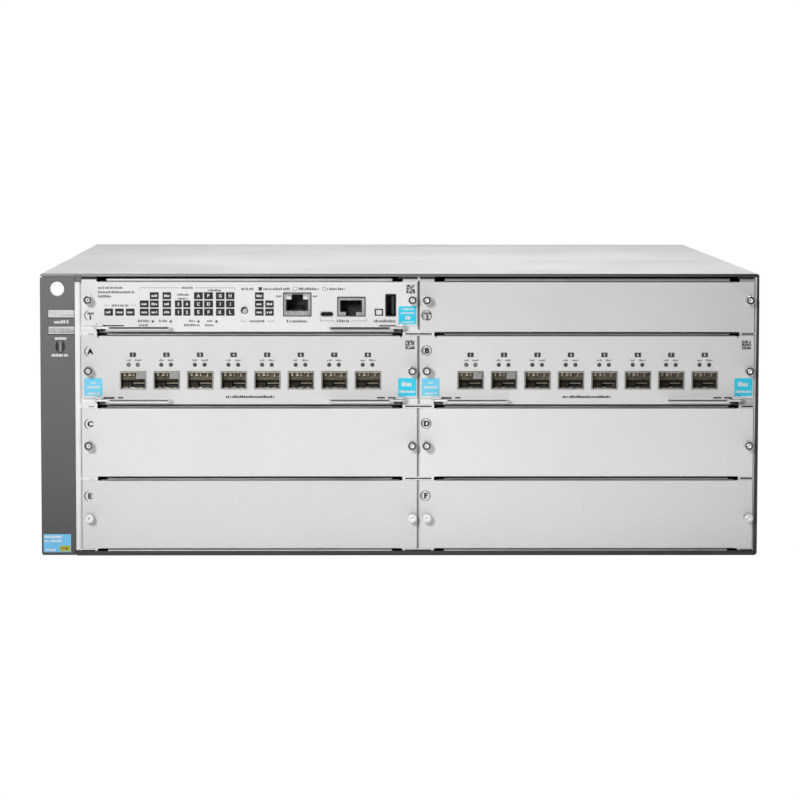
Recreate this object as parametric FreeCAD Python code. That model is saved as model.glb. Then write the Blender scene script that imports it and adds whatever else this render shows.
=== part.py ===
import FreeCAD, Part
import math
import os

os.makedirs("parts", exist_ok=True)

# A rack-mount modular switch chassis, 4 units high, in millimetres.
# X runs left to right seen from the front, Y from front to rear, Z up.
# Everything is drawn with y = 0 on the front of the faceplates and z = 0 under the floor;
# the export moves the lot along Y so that the origin is under the middle of its box.

# Chassis envelope
chassis_width = 444.5
chassis_height = 175.3
chassis_depth = 450.85
sheet = 1.2
outer_corner = 2.0
hem_corner = 1.4
loose = 0.3
pin_sides = 6
round_sides = 16

# Front layout, from the left
bezel_width = 21.25
post_width = 3.6
post_gap = 0.7
centre_gap = 1.5
right_post_width = 3.05

# Front layout, from the bottom
bottom_margin = 3.1
top_margin = 3.95
top_row = 33.45
line_row_count = 3

# Faceplates of modules and covers
plate = 1.5
ear = 9.3
reveal = 1.1
relief = 0.25
slant = 1.5
flange_depth = 11.0
notch_width = 14.5
v_notch = 0.8

# Spring gasket along the top edge of each faceplate
gasket_inset = 15.4
gasket_height = 1.6
gasket_depth = 5.0
gasket_setback = 1.8
gasket_wall = 0.4
gasket_shoulder = 1.1

# Screw lands behind the ears, and the ribs that show between the rows
land_setback = 2.1
land_width = 9.0
rib_height = 2.1
rib_setback = 0.4
rib_slot = 0.9
rib_slot_margin = 1.5
nut_window = 4.0

# Captive screws
screw_inset_left = 4.3
screw_inset_right = 3.1
screw_head_radius = 2.95
screw_head_length = 6.4
screw_neck_length = 0.8
screw_shaft_radius = 1.4
screw_shaft_length = 7.2
screw_fit = 0.1
knurl_count = 10
line_screw_drop = 22.6
cover_screw_drop = 24.0
top_screw_drop = 12.2

# Ejector levers
lever_pivot_inset = 10.5
lever_pivot_reach = 3.2
lever_length = 45.0
lever_width = 5.0
lever_offset = 1.0
lever_blade = 1.2
lever_lip = 2.0
lever_lip_wall = 1.0
lever_top = 4.7
lever_eye_radius = 2.6
lever_eye_sides = 8
lever_corner = 1.6
lever_pin_radius = 1.0
lever_pin_fit = 0.06
lever_nose_reach = 4.8
lever_nose_width = 2.2
lever_nose_turn = 135.0
lever_heel = 0.5
lever_lip_start = 6.5
lever_tab = 1.0
lever_tab_width = 6.0
lever_tab_corner = 1.2

# Module carriers and boards
carrier_inset = 10.0
carrier_sheet = 0.9
carrier_wall_height = 16.0
carrier_start = 5.0
carrier_length = 253.0
board = 1.6
board_start = 3.0
board_inset = 12.5
line_board_rise = 9.13
top_board_rise = 9.4
tongue_width = 60.0
tongue_length = 11.0
standoff_radius = 3.0
standoff_inset = 12.0
standoff_first = 36.0
carrier_notch = 15.5
board_end_gap = 2.0

# Pluggable port cages, their places as shares of the module's width
port_count = 8
port_pitch_share = 0.1001
first_port_share = 0.1522
cage_width = 16.0
cage_height = 10.9
cage_wall_side = 0.8
cage_wall_top = 0.95
cage_length = 46.6
cage_proud = 0.6
port_clearance = 0.15

# Management module connectors, their middles as shares of the module's width
network_jack_share = 0.64213
network_jack_width = 17.2
network_jack_height = 14.4
console_jack_share = 0.80333
console_jack_width = 17.2
console_jack_height = 11.8
jack_length = 21.0
jack_proud = 0.5
socket_width = 12.4
socket_height = 6.9
socket_depth = 14.0
socket_key_width = 6.6
network_socket_rise = 3.35
network_key_height = 3.0
console_socket_rise = 2.55
console_key_height = 2.0
usb_share = 0.92061
usb_width = 6.4
usb_height = 13.6
usb_length = 16.0
usb_wall = 0.6
usb_tongue = 1.8
micro_usb_share = 0.73021
micro_usb_width = 7.6
micro_usb_height = 2.6
micro_usb_length = 6.0
micro_usb_wall = 0.4

# Buttons of the management module, their places as shares of the module's width
button_share = 0.48528
button_rise = 14.5
button_radius = 1.85
button_fit = 0.1
button_proud = 1.4
button_travel = 0.8
button_collar_width = 5.6
button_collar = 0.8
pin_button_shares = [0.21163, 0.2652, 0.34773, 0.40082]
pin_button_rise = 7.7
pin_opening = 1.7
pin_button_width = 1.8
pin_button_travel = 0.5
pin_button_gap = 0.4
pin_switch_width = 5.0
pin_switch_depth = 4.0
pin_switch_floor = 1.9
pin_guide = 0.2

# Status windows: columns as left edge and width in shares of the module's width,
# and the rows that are filled, top row first
window_height = 4.3
window_pitch = 5.06
window_top_drop = 7.7
window_film = 0.25
window_columns = [
    (0.0678, 0.0256, (3,)), (0.1001, 0.0251, (3,)), (0.1320, 0.0256, (3,)),
    (0.1735, 0.0261, (2, 3)), (0.2034, 0.0261, (1, 2, 3)), (0.2411, 0.0251, (1, 2, 3)),
    (0.2778, 0.0203, (2, 3)), (0.3028, 0.0208, (2, 3)), (0.3347, 0.0261, (1, 2, 3)),
    (0.3646, 0.0265, (1, 2, 3)), (0.3999, 0.0256, (1, 2, 3)), (0.4298, 0.0251, (1, 2, 3)),
    (0.5162, 0.0256, (1, 2, 3)), (0.5466, 0.0251, (2, 3)), (0.8728, 0.0251, (3,)),
]

# Bezel
bezel_depth = 14.0
bezel_proud = 0.8
bezel_wall = 2.0
bezel_edge = 1.6
bezel_base = 0.4
bezel_top_gap = 0.2
light_bar_start = 5.0
light_bar_height = 4.7
light_bar_depth = 5.0
power_bar_drop = 24.9
fault_bar_drop = 35.1
locator_place = 12.3
locator_drop = 45.1
locator_width = 5.6
locator_length = 8.2
locator_depth = 4.0
locator_sides = 12
badge_place = 10.8
badge_drop = 9.6
badge_radius = 4.4
badge_thickness = 0.3
badge_sides = 12
insert_fit = 0.15

# Top cover
skirt = 14.0
skirt_start = 16.0
cover_lip = 1.9
tab_drop = 3.9

# Side walls
vent_width = 7.0
vent_height = 30.0
vent_pitch_y = 20.0
vent_pitch_z = 42.0
vent_columns = 6
vent_rows = 2
vent_start = 72.0
vent_base = 50.0
bracket_hole_radius = 2.0
bracket_hole_place = 34.0
bracket_hole_base = 32.0
bracket_hole_drop = 43.3

# Shelves between the rows, and the backplane behind them
shelf = 0.8
shelf_start = 12.5
shelf_flange = 6.0
backplane_place = 276.0
backplane = 2.4
backplane_base = 3.0
socket_block_width = 72.0
socket_block_height = 10.0
socket_block_depth = 15.0
slot_fit = 0.3

# Rear bays
supply_side_gap = 14.25
supply_middle_gap = 1.0
supply_height = 62.0
supply_start = 297.0
supply_wall = 1.0
supply_window_width = 70.0
supply_window_height = 24.0
rear_plate_overlap = 3.0
rear_shelf_gap = 0.6
rear_shelf_length = 150.0
bay_divider = 1.2
supply_connector_width = 60.0
supply_connector_height = 16.0
supply_connector_entry = 6.0

# Power inlet, by its middle from the left side of the supply
inlet_side_gap = 35.5
inlet_rise = 30.0
inlet_width = 28.0
inlet_height = 21.0
inlet_depth = 18.0
inlet_flange = 1.5
inlet_flange_edge = 3.0
inlet_cavity_width = 24.0
inlet_cavity_height = 16.5
inlet_cavity_depth = 15.0
inlet_corner_cut = 5.0
inlet_pin_width = 2.0
inlet_pin_height = 4.0
inlet_pin_length = 11.0
inlet_pin_pitch = 7.0
inlet_pin_root = 0.5

# Supply grille, its middle and length as shares of the supply's width
grille_share = 0.4324
grille_slot_share = 0.2222
grille_slot_height = 5.0
grille_slot_pitch = 8.5
grille_slot_count = 5

# Supply handle and latch, by their middle from the right side of the supply
handle_side_gap = 51.5
handle_span = 48.0
handle_reach = 20.0
handle_strap = 3.0
handle_corner = 6.0
handle_width = 12.0
latch_side_gap = 15.5
latch_width = 9.0
latch_height = 10.0
latch_reach = 12.0
latch_travel = 4.0
latch_foot = 1.6
latch_foot_edge = 3.0
latch_fit = 0.3

# Fan tray
fan_count = 3
fan_depth = 38.0
fan_rim = 3.0
fan_side_gap = 25.5
fan_head_room = 4.9
fan_tray_side_gap = 12.75
fan_tray_start = 388.0
fan_tray_wall_height = 40.0
fan_opening_drop = 11.6
fan_slot_count = 6
fan_slot_bar = 5.0
fan_slot_end_room = 21.0
stator_radius = 18.0
stator_thickness = 3.0
stator_arm = 4.0
spindle_radius = 1.5
spindle_fit = 0.05
hub_radius = 18.5
hub_sides = 12
hub_length = 24.0
hub_cap = 1.5
blade_root = 3.0
blade_count = 5
blade_thickness = 1.6
blade_chord = 22.0
blade_pitch_angle = 38.0
blade_tip_gap = 0.9

# Ground lug holes in the rear frame
lug_hole_radius = 2.1
lug_spacing = 15.9
lug_side_gap = 32.25
lug_drop = 5.0

# Places that follow from the sizes above
left_edge = -chassis_width / 2
right_edge = chassis_width / 2
bezel_right = left_edge + bezel_width
post_right = bezel_right + post_width
module_width = (right_edge - right_post_width - post_right - post_gap - centre_gap) / 2
columns = [post_right + post_gap, post_right + post_gap + module_width + centre_gap]
column_end = columns[1] + module_width
right_land_edge = column_end + loose
centre_line = columns[1] - centre_gap / 2
line_row = (chassis_height - top_margin - top_row - bottom_margin) / line_row_count
row_bases = [bottom_margin + line_row * step for step in range(line_row_count)]
top_row_base = bottom_margin + line_row * line_row_count
row_boundaries = row_bases + [top_row_base]
top_row_end = top_row_base + top_row
cover_under = chassis_height - sheet
front_reach = max(screw_head_length + screw_neck_length, lever_pivot_reach + lever_width / 2 + lever_offset)
front_place = (front_reach - chassis_depth - handle_reach) / 2
rear_plate_front = chassis_depth - sheet
rear_frame_back = rear_plate_front - loose
rear_frame_front = rear_frame_back - sheet
supply_width = right_edge - supply_side_gap - supply_middle_gap
supply_middle = supply_middle_gap + supply_width / 2
supply_top = sheet + loose + supply_height
rear_shelf_base = supply_top + rear_shelf_gap
rear_shelf_top = rear_shelf_base + sheet
fan_tray_base = rear_shelf_top + loose
fan_opening_top = chassis_height - fan_opening_drop
fan_size = fan_opening_top - fan_head_room - fan_tray_base - sheet
fan_middle_height = fan_tray_base + sheet + fan_size / 2
fan_tray_half_width = right_edge - fan_tray_side_gap
fan_pitch = 2 * (fan_tray_half_width - fan_side_gap - fan_size / 2) / (fan_count - 1)
fan_bore_radius = fan_size / 2 - fan_rim
fan_slot_pitch = (2 * fan_bore_radius - fan_slot_end_room) / (fan_slot_count - 1)
fan_slot_height = fan_slot_pitch - fan_slot_bar
joggle_base = chassis_height - skirt
carrier_rise = reveal + relief - carrier_sheet


def vector(x, y, z):
    return FreeCAD.Vector(x, y, z)


def box(x0, x1, y0, y1, z0, z1):
    return Part.makeBox(x1 - x0, y1 - y0, z1 - z0, vector(x0, y0, z0))


def rod(radius, start, length, axis):
    return Part.makeCylinder(radius, length, vector(*start), vector(*axis))


def pin(radius, plane, middle, start, end, sides=pin_sides):
    """A small round drawn with few sides, all inside its circle."""
    return prism(polygon(middle[0], middle[1], radius, sides), plane, start, end)


def pin_hole(radius, plane, middle, start, end, sides=pin_sides):
    """The hole for such a round, with its sides outside the circle."""
    return pin(radius / math.cos(math.pi / sides), plane, middle, start, end, sides)


def corner_arc(before, corner, after):
    """Tangent points and the middle of the arc that rounds one corner of an outline."""
    radius = corner[2]
    back = vector(before[0] - corner[0], before[1] - corner[1], 0).normalize()
    ahead = vector(after[0] - corner[0], after[1] - corner[1], 0).normalize()
    half = back.getAngle(ahead) / 2
    middle = (back + ahead).normalize()
    point = vector(corner[0], corner[1], 0)
    centre = point + middle * (radius / math.sin(half))
    reach = radius / math.tan(half)
    return point + back * reach, centre - middle * radius, point + ahead * reach


def outline_edges(points):
    """Edges of a closed outline; a point with a third value is rounded by that radius."""
    edges = []
    ends = []
    for index, point in enumerate(points):
        if len(point) > 2 and point[2] > 0:
            start, middle, end = corner_arc(points[index - 1], point, points[(index + 1) % len(points)])
            edges.append(Part.Arc(start, middle, end).toShape())
            ends.append((start, end))
        else:
            place = vector(point[0], point[1], 0)
            ends.append((place, place))
    for index, (start, end) in enumerate(ends):
        following = ends[(index + 1) % len(ends)][0]
        if end.distanceToPoint(following) > 1e-6:
            edges.append(Part.LineSegment(end, following).toShape())
    return edges


def prism(points, plane, start, end):
    """An outline in the xy, xz or yz plane, drawn out from start to end along the third axis."""
    face = Part.Face(Part.Wire(Part.__sortEdges__(outline_edges(points))))
    if plane == "xz":
        face.rotate(vector(0, 0, 0), vector(1, 0, 0), 90)
        return face.translated(vector(0, start, 0)).extrude(vector(0, end - start, 0))
    if plane == "yz":
        face.Placement = FreeCAD.Placement(vector(start, 0, 0), FreeCAD.Rotation(vector(1, 1, 1), 120))
        return face.extrude(vector(end - start, 0, 0))
    return face.translated(vector(0, 0, start)).extrude(vector(0, 0, end - start))


def folded(path, thickness):
    """Outline of a folded strip on the left of an open path; a third value rounds a bend outside."""
    near = []
    far = []
    for index, (x, y, *corner) in enumerate(path):
        radius = corner[0] if corner else 0
        before = path[max(index - 1, 0)]
        after = path[min(index + 1, len(path) - 1)]
        entry = (x - before[0], y - before[1]) if index > 0 else (after[0] - x, after[1] - y)
        leave = (after[0] - x, after[1] - y) if index < len(path) - 1 else entry
        entry_length = math.hypot(*entry)
        leave_length = math.hypot(*leave)
        n0 = (-entry[1] / entry_length, entry[0] / entry_length)
        n1 = (-leave[1] / leave_length, leave[0] / leave_length)
        share = thickness / (1 + n0[0] * n1[0] + n0[1] * n1[1])
        turn = n0[0] * n1[1] - n0[1] * n1[0]
        near.append((x, y, radius if turn > 0 else 0))
        far.append((x + (n0[0] + n1[0]) * share, y + (n0[1] + n1[1]) * share, radius if turn < 0 else 0))
    return near + far[::-1]


def rectangle(u0, u1, v0, v1, radius=0):
    return [(u0, v0, radius), (u1, v0, radius), (u1, v1, radius), (u0, v1, radius)]


def polygon(u, v, radius, count, turn=0.0):
    """A regular outline about a point, by the radius of its corners."""
    angles = [turn + 2 * math.pi * step / count for step in range(count)]
    return [(u + radius * math.cos(angle), v + radius * math.sin(angle)) for angle in angles]


def fuse(shapes):
    whole = shapes[0].fuse(shapes[1:]) if len(shapes) > 1 else shapes[0]
    return whole.removeSplitter()


def along(column, share):
    """A place along a module or cover, from the share of its width."""
    return column + share * module_width


def mirrored(shape, column):
    """The same shape on the other side of a column's middle."""
    return shape.mirror(vector(column + module_width / 2, 0, 0), vector(1, 0, 0))


def export(name, shapes):
    """Write one node, moved so that the origin is under the middle of the part."""
    whole = shapes[0] if len(shapes) == 1 else Part.makeCompound(shapes)
    moved = whole.translated(vector(0, front_place, 0))
    for solid in moved.Solids:
        if not solid.isValid():
            print("not valid:", name)
    print(name, len(moved.Solids), "solids", round(moved.Volume), "mm3")
    moved.exportStep("parts/" + name + ".step")


def row_end(base):
    return base + (top_row if base == top_row_base else line_row)


def screw_heights():
    """Height of the screws in each row, from the bottom row up."""
    heights = []
    for index, base in enumerate(row_bases):
        drop = line_screw_drop if index == line_row_count - 1 else cover_screw_drop
        heights.append(base + line_row - drop)
    return heights + [top_row_end - top_screw_drop]


def captive_screw(x, z):
    """Knurled head on a shaft that reaches through the land."""
    head_back = -screw_neck_length
    head = pin(screw_head_radius, "xz", (x, z), head_back - screw_head_length, head_back, knurl_count)
    return fuse([head, pin(screw_shaft_radius, "xz", (x, z), head_back, screw_shaft_length)])


def screw_hole(x, z):
    return pin_hole(screw_shaft_radius + screw_fit, "xz", (x, z), -1, plate + 1)


def nut_room(x, z):
    """Square window for the nut that a captive screw turns into."""
    half = nut_window / 2
    return box(x - half, x + half, land_setback - 1, land_setback + sheet + 1, z - half, z + half)


def lands(x0, x1, z_low, holes_x):
    """The flat strip that the ears screw to, with a slotted rib at each row boundary."""
    pieces = [box(x0, x1, land_setback, land_setback + sheet, z_low, cover_under)]
    cuts = []
    for boundary in row_boundaries:
        low = max(boundary - rib_height / 2, bottom_margin)
        high = boundary + rib_height / 2
        pieces.append(box(x0, x1, rib_setback, land_setback, low, high))
        slot_low = boundary - rib_slot / 2
        cuts.append(box(x0 + rib_slot_margin, x1 - rib_slot_margin, rib_setback - 1,
                        land_setback + sheet + 1, slot_low, slot_low + rib_slot))
    for x in holes_x:
        for z in screw_heights():
            cuts.append(nut_room(x, z))
    return pieces, cuts


def vents(x0, x1):
    """Rows of upright slots through one side wall."""
    cuts = []
    for row in range(vent_rows):
        for column in range(vent_columns):
            y = vent_start + column * vent_pitch_y
            z = vent_base + row * vent_pitch_z
            cuts.append(box(x0, x1, y, y + vent_width, z, z + vent_height))
    return cuts


def chassis_tray():
    """Floor and side walls in one folding, joggled in at the top for the cover's skirts."""
    step = sheet + insert_fit
    top = cover_under
    path = [(left_edge + step, top), (left_edge + step, joggle_base), (left_edge, joggle_base - step),
            (left_edge, 0, outer_corner), (right_edge, 0, outer_corner),
            (right_edge, joggle_base - step), (right_edge - step, joggle_base), (right_edge - step, top)]
    body = prism(folded(path, sheet), "xz", 0, chassis_depth)
    bezel_room = box(left_edge - 1, bezel_right + loose, -1, bezel_depth + loose, -1, chassis_height)
    corner_room = box(right_edge - 3 * sheet, right_edge + 1, -1, skirt_start, joggle_base - 2 * step,
                      chassis_height)
    body = body.cut([bezel_room, corner_room])
    flange_top = chassis_height - cover_lip - loose
    plan = [(right_land_edge, land_setback + sheet), (right_land_edge, 0), (right_edge, 0, hem_corner),
            (right_edge, skirt_start)]
    front_flange = prism(folded(plan, sheet), "xy", outer_corner, flange_top)
    land_start = column_end - land_width
    pieces, cuts = lands(land_start, right_land_edge + sheet, sheet, [column_end - screw_inset_right])
    lip = box(bezel_right + loose, right_edge - outer_corner, 0, sheet, 0, bottom_margin - loose)
    body = fuse([body, front_flange, lip] + pieces)
    cuts += vents(left_edge - 1, left_edge + 2 * sheet)
    cuts += vents(right_edge - 2 * sheet, right_edge + 1)
    for x in (left_edge - 1, right_edge - 2 * sheet):
        for z in (bracket_hole_base, chassis_height - bracket_hole_drop):
            cuts.append(rod(bracket_hole_radius, (x, bracket_hole_place, z), 2 * sheet + 1, (1, 0, 0)))
    return body.cut(cuts)


def top_cover():
    """Flat lid with a short front lip, skirts over the joggled walls and a tab over the post."""
    path = [(right_edge, joggle_base + loose), (right_edge, chassis_height, outer_corner),
            (left_edge, chassis_height, outer_corner), (left_edge, joggle_base + loose)]
    body = prism(folded(path, sheet), "xz", 0, chassis_depth)
    front_room = box(left_edge - 1, right_edge + 1, -1, skirt_start + loose, joggle_base - 1,
                     chassis_height - cover_lip)
    body = body.cut(front_room)
    lip = box(left_edge + sheet, right_edge - sheet, 0, sheet, chassis_height - cover_lip, cover_under)
    tab = box(bezel_right + loose, post_right, -loose, land_setback - loose,
              chassis_height - tab_drop, cover_under)
    return fuse([body, lip, tab])


def front_post():
    """Left wall of the module bay: a hemmed front edge, a land for the ears and the wall itself."""
    wall_left = bezel_right + loose / 3
    plan = [(wall_left, backplane_place), (wall_left, 0), (post_right, 0, hem_corner),
            (post_right, land_setback + sheet)]
    wall = prism(folded(plan, sheet), "xy", sheet, cover_under)
    front = box(bezel_right, post_right + loose, -1, land_setback, -1, bottom_margin + loose)
    tab_room = box(bezel_right, post_right + loose, -1, land_setback,
                   chassis_height - tab_drop - loose, chassis_height)
    pieces, cuts = lands(post_right - sheet, columns[0] + land_width, sheet, [columns[0] + screw_inset_left])
    return fuse([wall] + pieces).cut(cuts + [front, tab_room])


def centre_divider():
    """Wall between the two columns, with a land on both sides of its front edge."""
    web = box(centre_line - sheet / 2, centre_line + sheet / 2, land_setback, backplane_place, sheet, cover_under)
    left_land = columns[0] + module_width - land_width
    right_land = columns[1] + land_width
    screws = [columns[0] + module_width - screw_inset_right, columns[1] + screw_inset_left]
    pieces, cuts = lands(left_land, right_land, sheet, screws)
    return fuse([web] + pieces).cut(cuts)


def bay_shelves():
    """Folded shelves between the rows of each column, fixed to the walls beside them."""
    spans = [(bezel_right + loose / 3 + sheet, centre_line - sheet / 2),
             (centre_line + sheet / 2, right_edge - sheet)]
    shelves = []
    for left, right in spans:
        for boundary in row_boundaries[1:]:
            low = boundary - shelf / 2
            path = [(left, low - shelf_flange), (left, low + shelf), (right, low + shelf),
                    (right, low - shelf_flange)]
            shelves.append(prism(folded(path[::-1], shelf), "xz", shelf_start, backplane_place))
    return shelves


def bay_middle(column):
    return column + module_width / 2


def backplane_board():
    """Board across the chassis, from the post's wall to the joggled right wall."""
    left = bezel_right + loose / 3
    right = right_edge - 2 * sheet - insert_fit
    return box(left, right, backplane_place, backplane_place + backplane, backplane_base, cover_under - loose)


def backplane_connectors():
    """Card-edge sockets for every slot, and a plug for each supply on the rear face."""
    blocks = []
    for column in columns:
        for base in row_boundaries:
            rise = top_board_rise if base == top_row_base else line_board_rise
            middle = base + rise + board / 2
            low = middle - socket_block_height / 2
            front = backplane_place - socket_block_depth
            centre = bay_middle(column)
            block = box(centre - socket_block_width / 2, centre + socket_block_width / 2, front,
                        backplane_place, low, low + socket_block_height)
            half = tongue_width / 2 + slot_fit
            slot = box(centre - half, centre + half, front - 1, front + tongue_length,
                       middle - board / 2 - slot_fit, middle + board / 2 + slot_fit)
            blocks.append(block.cut(slot))
    for side in (-1, 1):
        middle = side * supply_middle
        low = sheet + loose + supply_height / 2 - supply_connector_height / 2
        blocks.append(box(middle - supply_connector_width / 2, middle + supply_connector_width / 2,
                          backplane_place + backplane, supply_start + supply_connector_entry,
                          low, low + supply_connector_height))
    return blocks


def front_bezel():
    """Moulded left end cap, open behind, with places for the badge, light bars and locator lens."""
    z0 = bezel_base
    z1 = chassis_height - cover_lip - bezel_top_gap
    right = bezel_right
    outline = [(left_edge, z0, bezel_edge), (right, z0), (right, z1), (left_edge, z1, bezel_edge)]
    outer = prism(outline, "xz", -bezel_proud, bezel_depth)
    inner = box(left_edge + bezel_wall, right - bezel_wall, bezel_wall - bezel_proud, bezel_depth + 1,
                z0 + bezel_wall, z1 - bezel_wall)
    cuts = [inner]
    for drop in (power_bar_drop, fault_bar_drop):
        middle = chassis_height - drop
        half = light_bar_height / 2 + insert_fit
        cuts.append(box(left_edge + light_bar_start - insert_fit, right + 1, -bezel_proud - 1,
                        light_bar_depth - bezel_proud + insert_fit, middle - half, middle + half))
    cuts.append(locator_solid(insert_fit, -bezel_proud - 1, bezel_depth))
    return outer.cut(cuts)


def locator_solid(extra, start, end):
    x = left_edge + locator_place
    z = chassis_height - locator_drop
    half_width = locator_width / 2 + extra
    half_length = locator_length / 2 + extra
    outline = []
    for u, v in polygon(0, 0, 1, locator_sides, math.pi / locator_sides):
        outline.append((x + half_width * u, z + half_length * v))
    return prism(outline, "xz", start, end)


def light_bar(drop):
    """Clear bar that wraps from the bezel's face round its right edge."""
    middle = chassis_height - drop
    half = light_bar_height / 2
    x0 = left_edge + light_bar_start
    front = -bezel_proud
    back = light_bar_depth - bezel_proud
    shape = [(x0, front), (bezel_right, front, bezel_edge), (bezel_right, back),
             (bezel_right - bezel_wall, back), (bezel_right - bezel_wall, front + bezel_wall),
             (x0, front + bezel_wall)]
    return prism(shape, "xy", middle - half, middle + half)


def badge_disc():
    """Plain disc laid on the bezel's face."""
    middle = (left_edge + badge_place, chassis_height - badge_drop)
    return pin(badge_radius, "xz", middle, -bezel_proud - badge_thickness, -bezel_proud, badge_sides)


def faceplate(column, base, notched, v_notched):
    """Front sheet with full-height ears and a folded middle; module plates have open lower corners."""
    end = row_end(base)
    ear_low = base + reveal
    ear_high = end - reveal
    mid_low = ear_low + relief
    mid_high = ear_high - relief
    inner = ear + slant
    mid_path = [(flange_depth, mid_high), (0, mid_high), (0, mid_low), (flange_depth, mid_low)]
    middle = prism(folded(mid_path, plate), "yz", column + inner, column + module_width - inner)
    left_ear = [(column, ear_low), (column + ear, ear_low), (column + inner, mid_low),
                (column + inner, mid_high), (column + ear, ear_high), (column, ear_high)]
    ear_solid = prism(left_ear, "xz", 0, plate)
    pieces = [middle, ear_solid, mirrored(ear_solid, column)]
    cuts = []
    if notched:
        notch = box(column - 1, column + notch_width, -1, flange_depth + 1, base,
                    base + lever_top + loose)
        cuts += [notch, mirrored(notch, column)]
        pieces += lever_bracket(column, base)
    if v_notched:
        x = column + inner - slant / 2
        point = [(x - v_notch, ear_high + 1), (x + v_notch, ear_high + 1), (x, mid_high - 2 * v_notch)]
        notch = prism(point, "xz", -1, plate + 1)
        cuts += [notch, mirrored(notch, column)]
    for x, z in screw_places(column, base):
        cuts.append(screw_hole(x, z))
    return fuse(pieces).cut(cuts)


def screw_places(column, base):
    height = screw_heights()[row_boundaries.index(base)]
    return [(column + screw_inset_left, height), (column + module_width - screw_inset_right, height)]


def gasket(column, base):
    """Arched spring strip that stands on the top fold of a faceplate."""
    low = row_end(base) - reveal - relief
    front = gasket_setback
    back = front + gasket_depth
    crown = low + gasket_height - gasket_wall
    shoulder = crown - gasket_wall
    path = [(front, low), (front + gasket_shoulder, shoulder), ((front + back) / 2, crown),
            (back - gasket_shoulder, shoulder), (back, low)]
    strip = folded(path, gasket_wall)
    return prism(strip, "yz", column + gasket_inset, column + module_width - gasket_inset)


def lever_pivot(column):
    return column + lever_pivot_inset, -lever_pivot_reach


def lever_bracket(column, base):
    """Tab above each lever, with the pin that it turns on."""
    x, y = lever_pivot(column)
    top = base + lever_top
    tab_low = top + loose
    left = x - lever_tab_width / 2
    right = x + lever_tab_width / 2
    front = y - lever_eye_radius
    cut = lever_tab_corner
    tab = prism([(left, plate / 2), (left, front + cut), (left + cut, front), (right - cut, front),
                 (right, front + cut), (right, plate / 2)], "xy", tab_low, tab_low + lever_tab)
    axle = pin(lever_pin_radius, "xy", (x, y), top - lever_blade - loose, tab_low)
    bracket = fuse([tab, axle])
    return [bracket, mirrored(bracket, column)]


def lever(column, base):
    """Flat ejector lever: an eye on the pin, a lipped blade and a short nose towards the land."""
    x, y = lever_pivot(column)
    high = base + lever_top
    low = high - lever_blade
    eye = pin(lever_eye_radius, "xy", (x, y), low, high, lever_eye_sides)
    front = y - lever_width / 2 - lever_offset
    back = front + lever_width
    end = x + lever_length
    cut = lever_corner
    blade = prism([(x, y - lever_eye_radius), (x + 2 * lever_eye_radius, front), (end - cut, front),
                   (end, front + cut), (end, back - cut), (end - cut, back), (x, back + lever_heel)],
                  "xy", low, high)
    lip = box(x + lever_lip_start, end - cut, front, front + lever_lip_wall, high - lever_lip, high)
    half = lever_nose_width / 2
    nose = prism([(0, -half), (lever_nose_reach - half, -half), (lever_nose_reach, 0),
                  (lever_nose_reach - half, half), (0, half)], "xy", low, high)
    nose.rotate(vector(0, 0, 0), vector(0, 0, 1), lever_nose_turn)
    nose.translate(vector(x, y, 0))
    hole = pin_hole(lever_pin_radius + lever_pin_fit, "xy", (x, y), low - 1, high + 1)
    return fuse([eye, blade, lip, nose]).cut(hole)


def carrier(column, base, rise):
    """Sheet tray that carries a module's board, fixed under the lower fold of its faceplate."""
    left = column + carrier_inset
    right = column + module_width - carrier_inset
    low = base + carrier_rise
    high = low + carrier_wall_height
    path = [(left, high), (left, low), (right, low), (right, high)]
    tray = prism(folded(path, carrier_sheet), "xz", carrier_start, carrier_start + carrier_length)
    wall_start = flange_depth + 1
    rooms = [box(left - 1, right + 1, 0, wall_start, low + carrier_sheet, high + 1)]
    rooms.append(box(left - 1, column + carrier_notch, 0, wall_start, low - 1, high))
    rooms.append(box(column + module_width - carrier_notch, right + 1, 0, wall_start, low - 1, high))
    tray = tray.cut(rooms)
    posts = []
    for x in (left + standoff_inset, right - standoff_inset):
        for y in (standoff_first, carrier_length - standoff_inset):
            posts.append(prism(polygon(x, y, standoff_radius, 6), "xy", low + carrier_sheet / 2, base + rise))
    return fuse([tray] + posts)


def module_board(column, base, rise):
    """Circuit board with a tongue that enters its socket on the backplane."""
    left = column + board_inset
    right = column + module_width - board_inset
    end = backplane_place - socket_block_depth - board_end_gap
    middle = bay_middle(column)
    half = tongue_width / 2
    reach = end + tongue_length
    outline = [(left, board_start), (right, board_start), (right, end), (middle + half, end),
               (middle + half, reach), (middle - half, reach), (middle - half, end), (left, end)]
    return prism(outline, "xy", base + rise, base + rise + board)


def port_middle(column, index):
    return along(column, first_port_share + index * port_pitch_share)


def port_cages(column, base):
    """Eight sheet-metal cages that stand on the board and reach through the faceplate."""
    cages = []
    low = base + line_board_rise + board
    for index in range(port_count):
        x = port_middle(column, index)
        outer = box(x - cage_width / 2, x + cage_width / 2, -cage_proud, cage_length, low, low + cage_height)
        inner = box(x - cage_width / 2 + cage_wall_side, x + cage_width / 2 - cage_wall_side,
                    -cage_proud - 1, cage_length - cage_wall_side,
                    low + cage_wall_top, low + cage_height - cage_wall_top)
        cages.append(outer.cut(inner))
    return cages


def port_windows(column, base):
    low = base + line_board_rise + board
    rooms = []
    for index in range(port_count):
        x = port_middle(column, index)
        half = cage_width / 2 + port_clearance
        rooms.append(box(x - half, x + half, -1, plate + 1, low - port_clearance,
                         low + cage_height + port_clearance))
    return rooms


def board_top(base):
    return base + (top_board_rise if base == top_row_base else line_board_rise) + board


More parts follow.
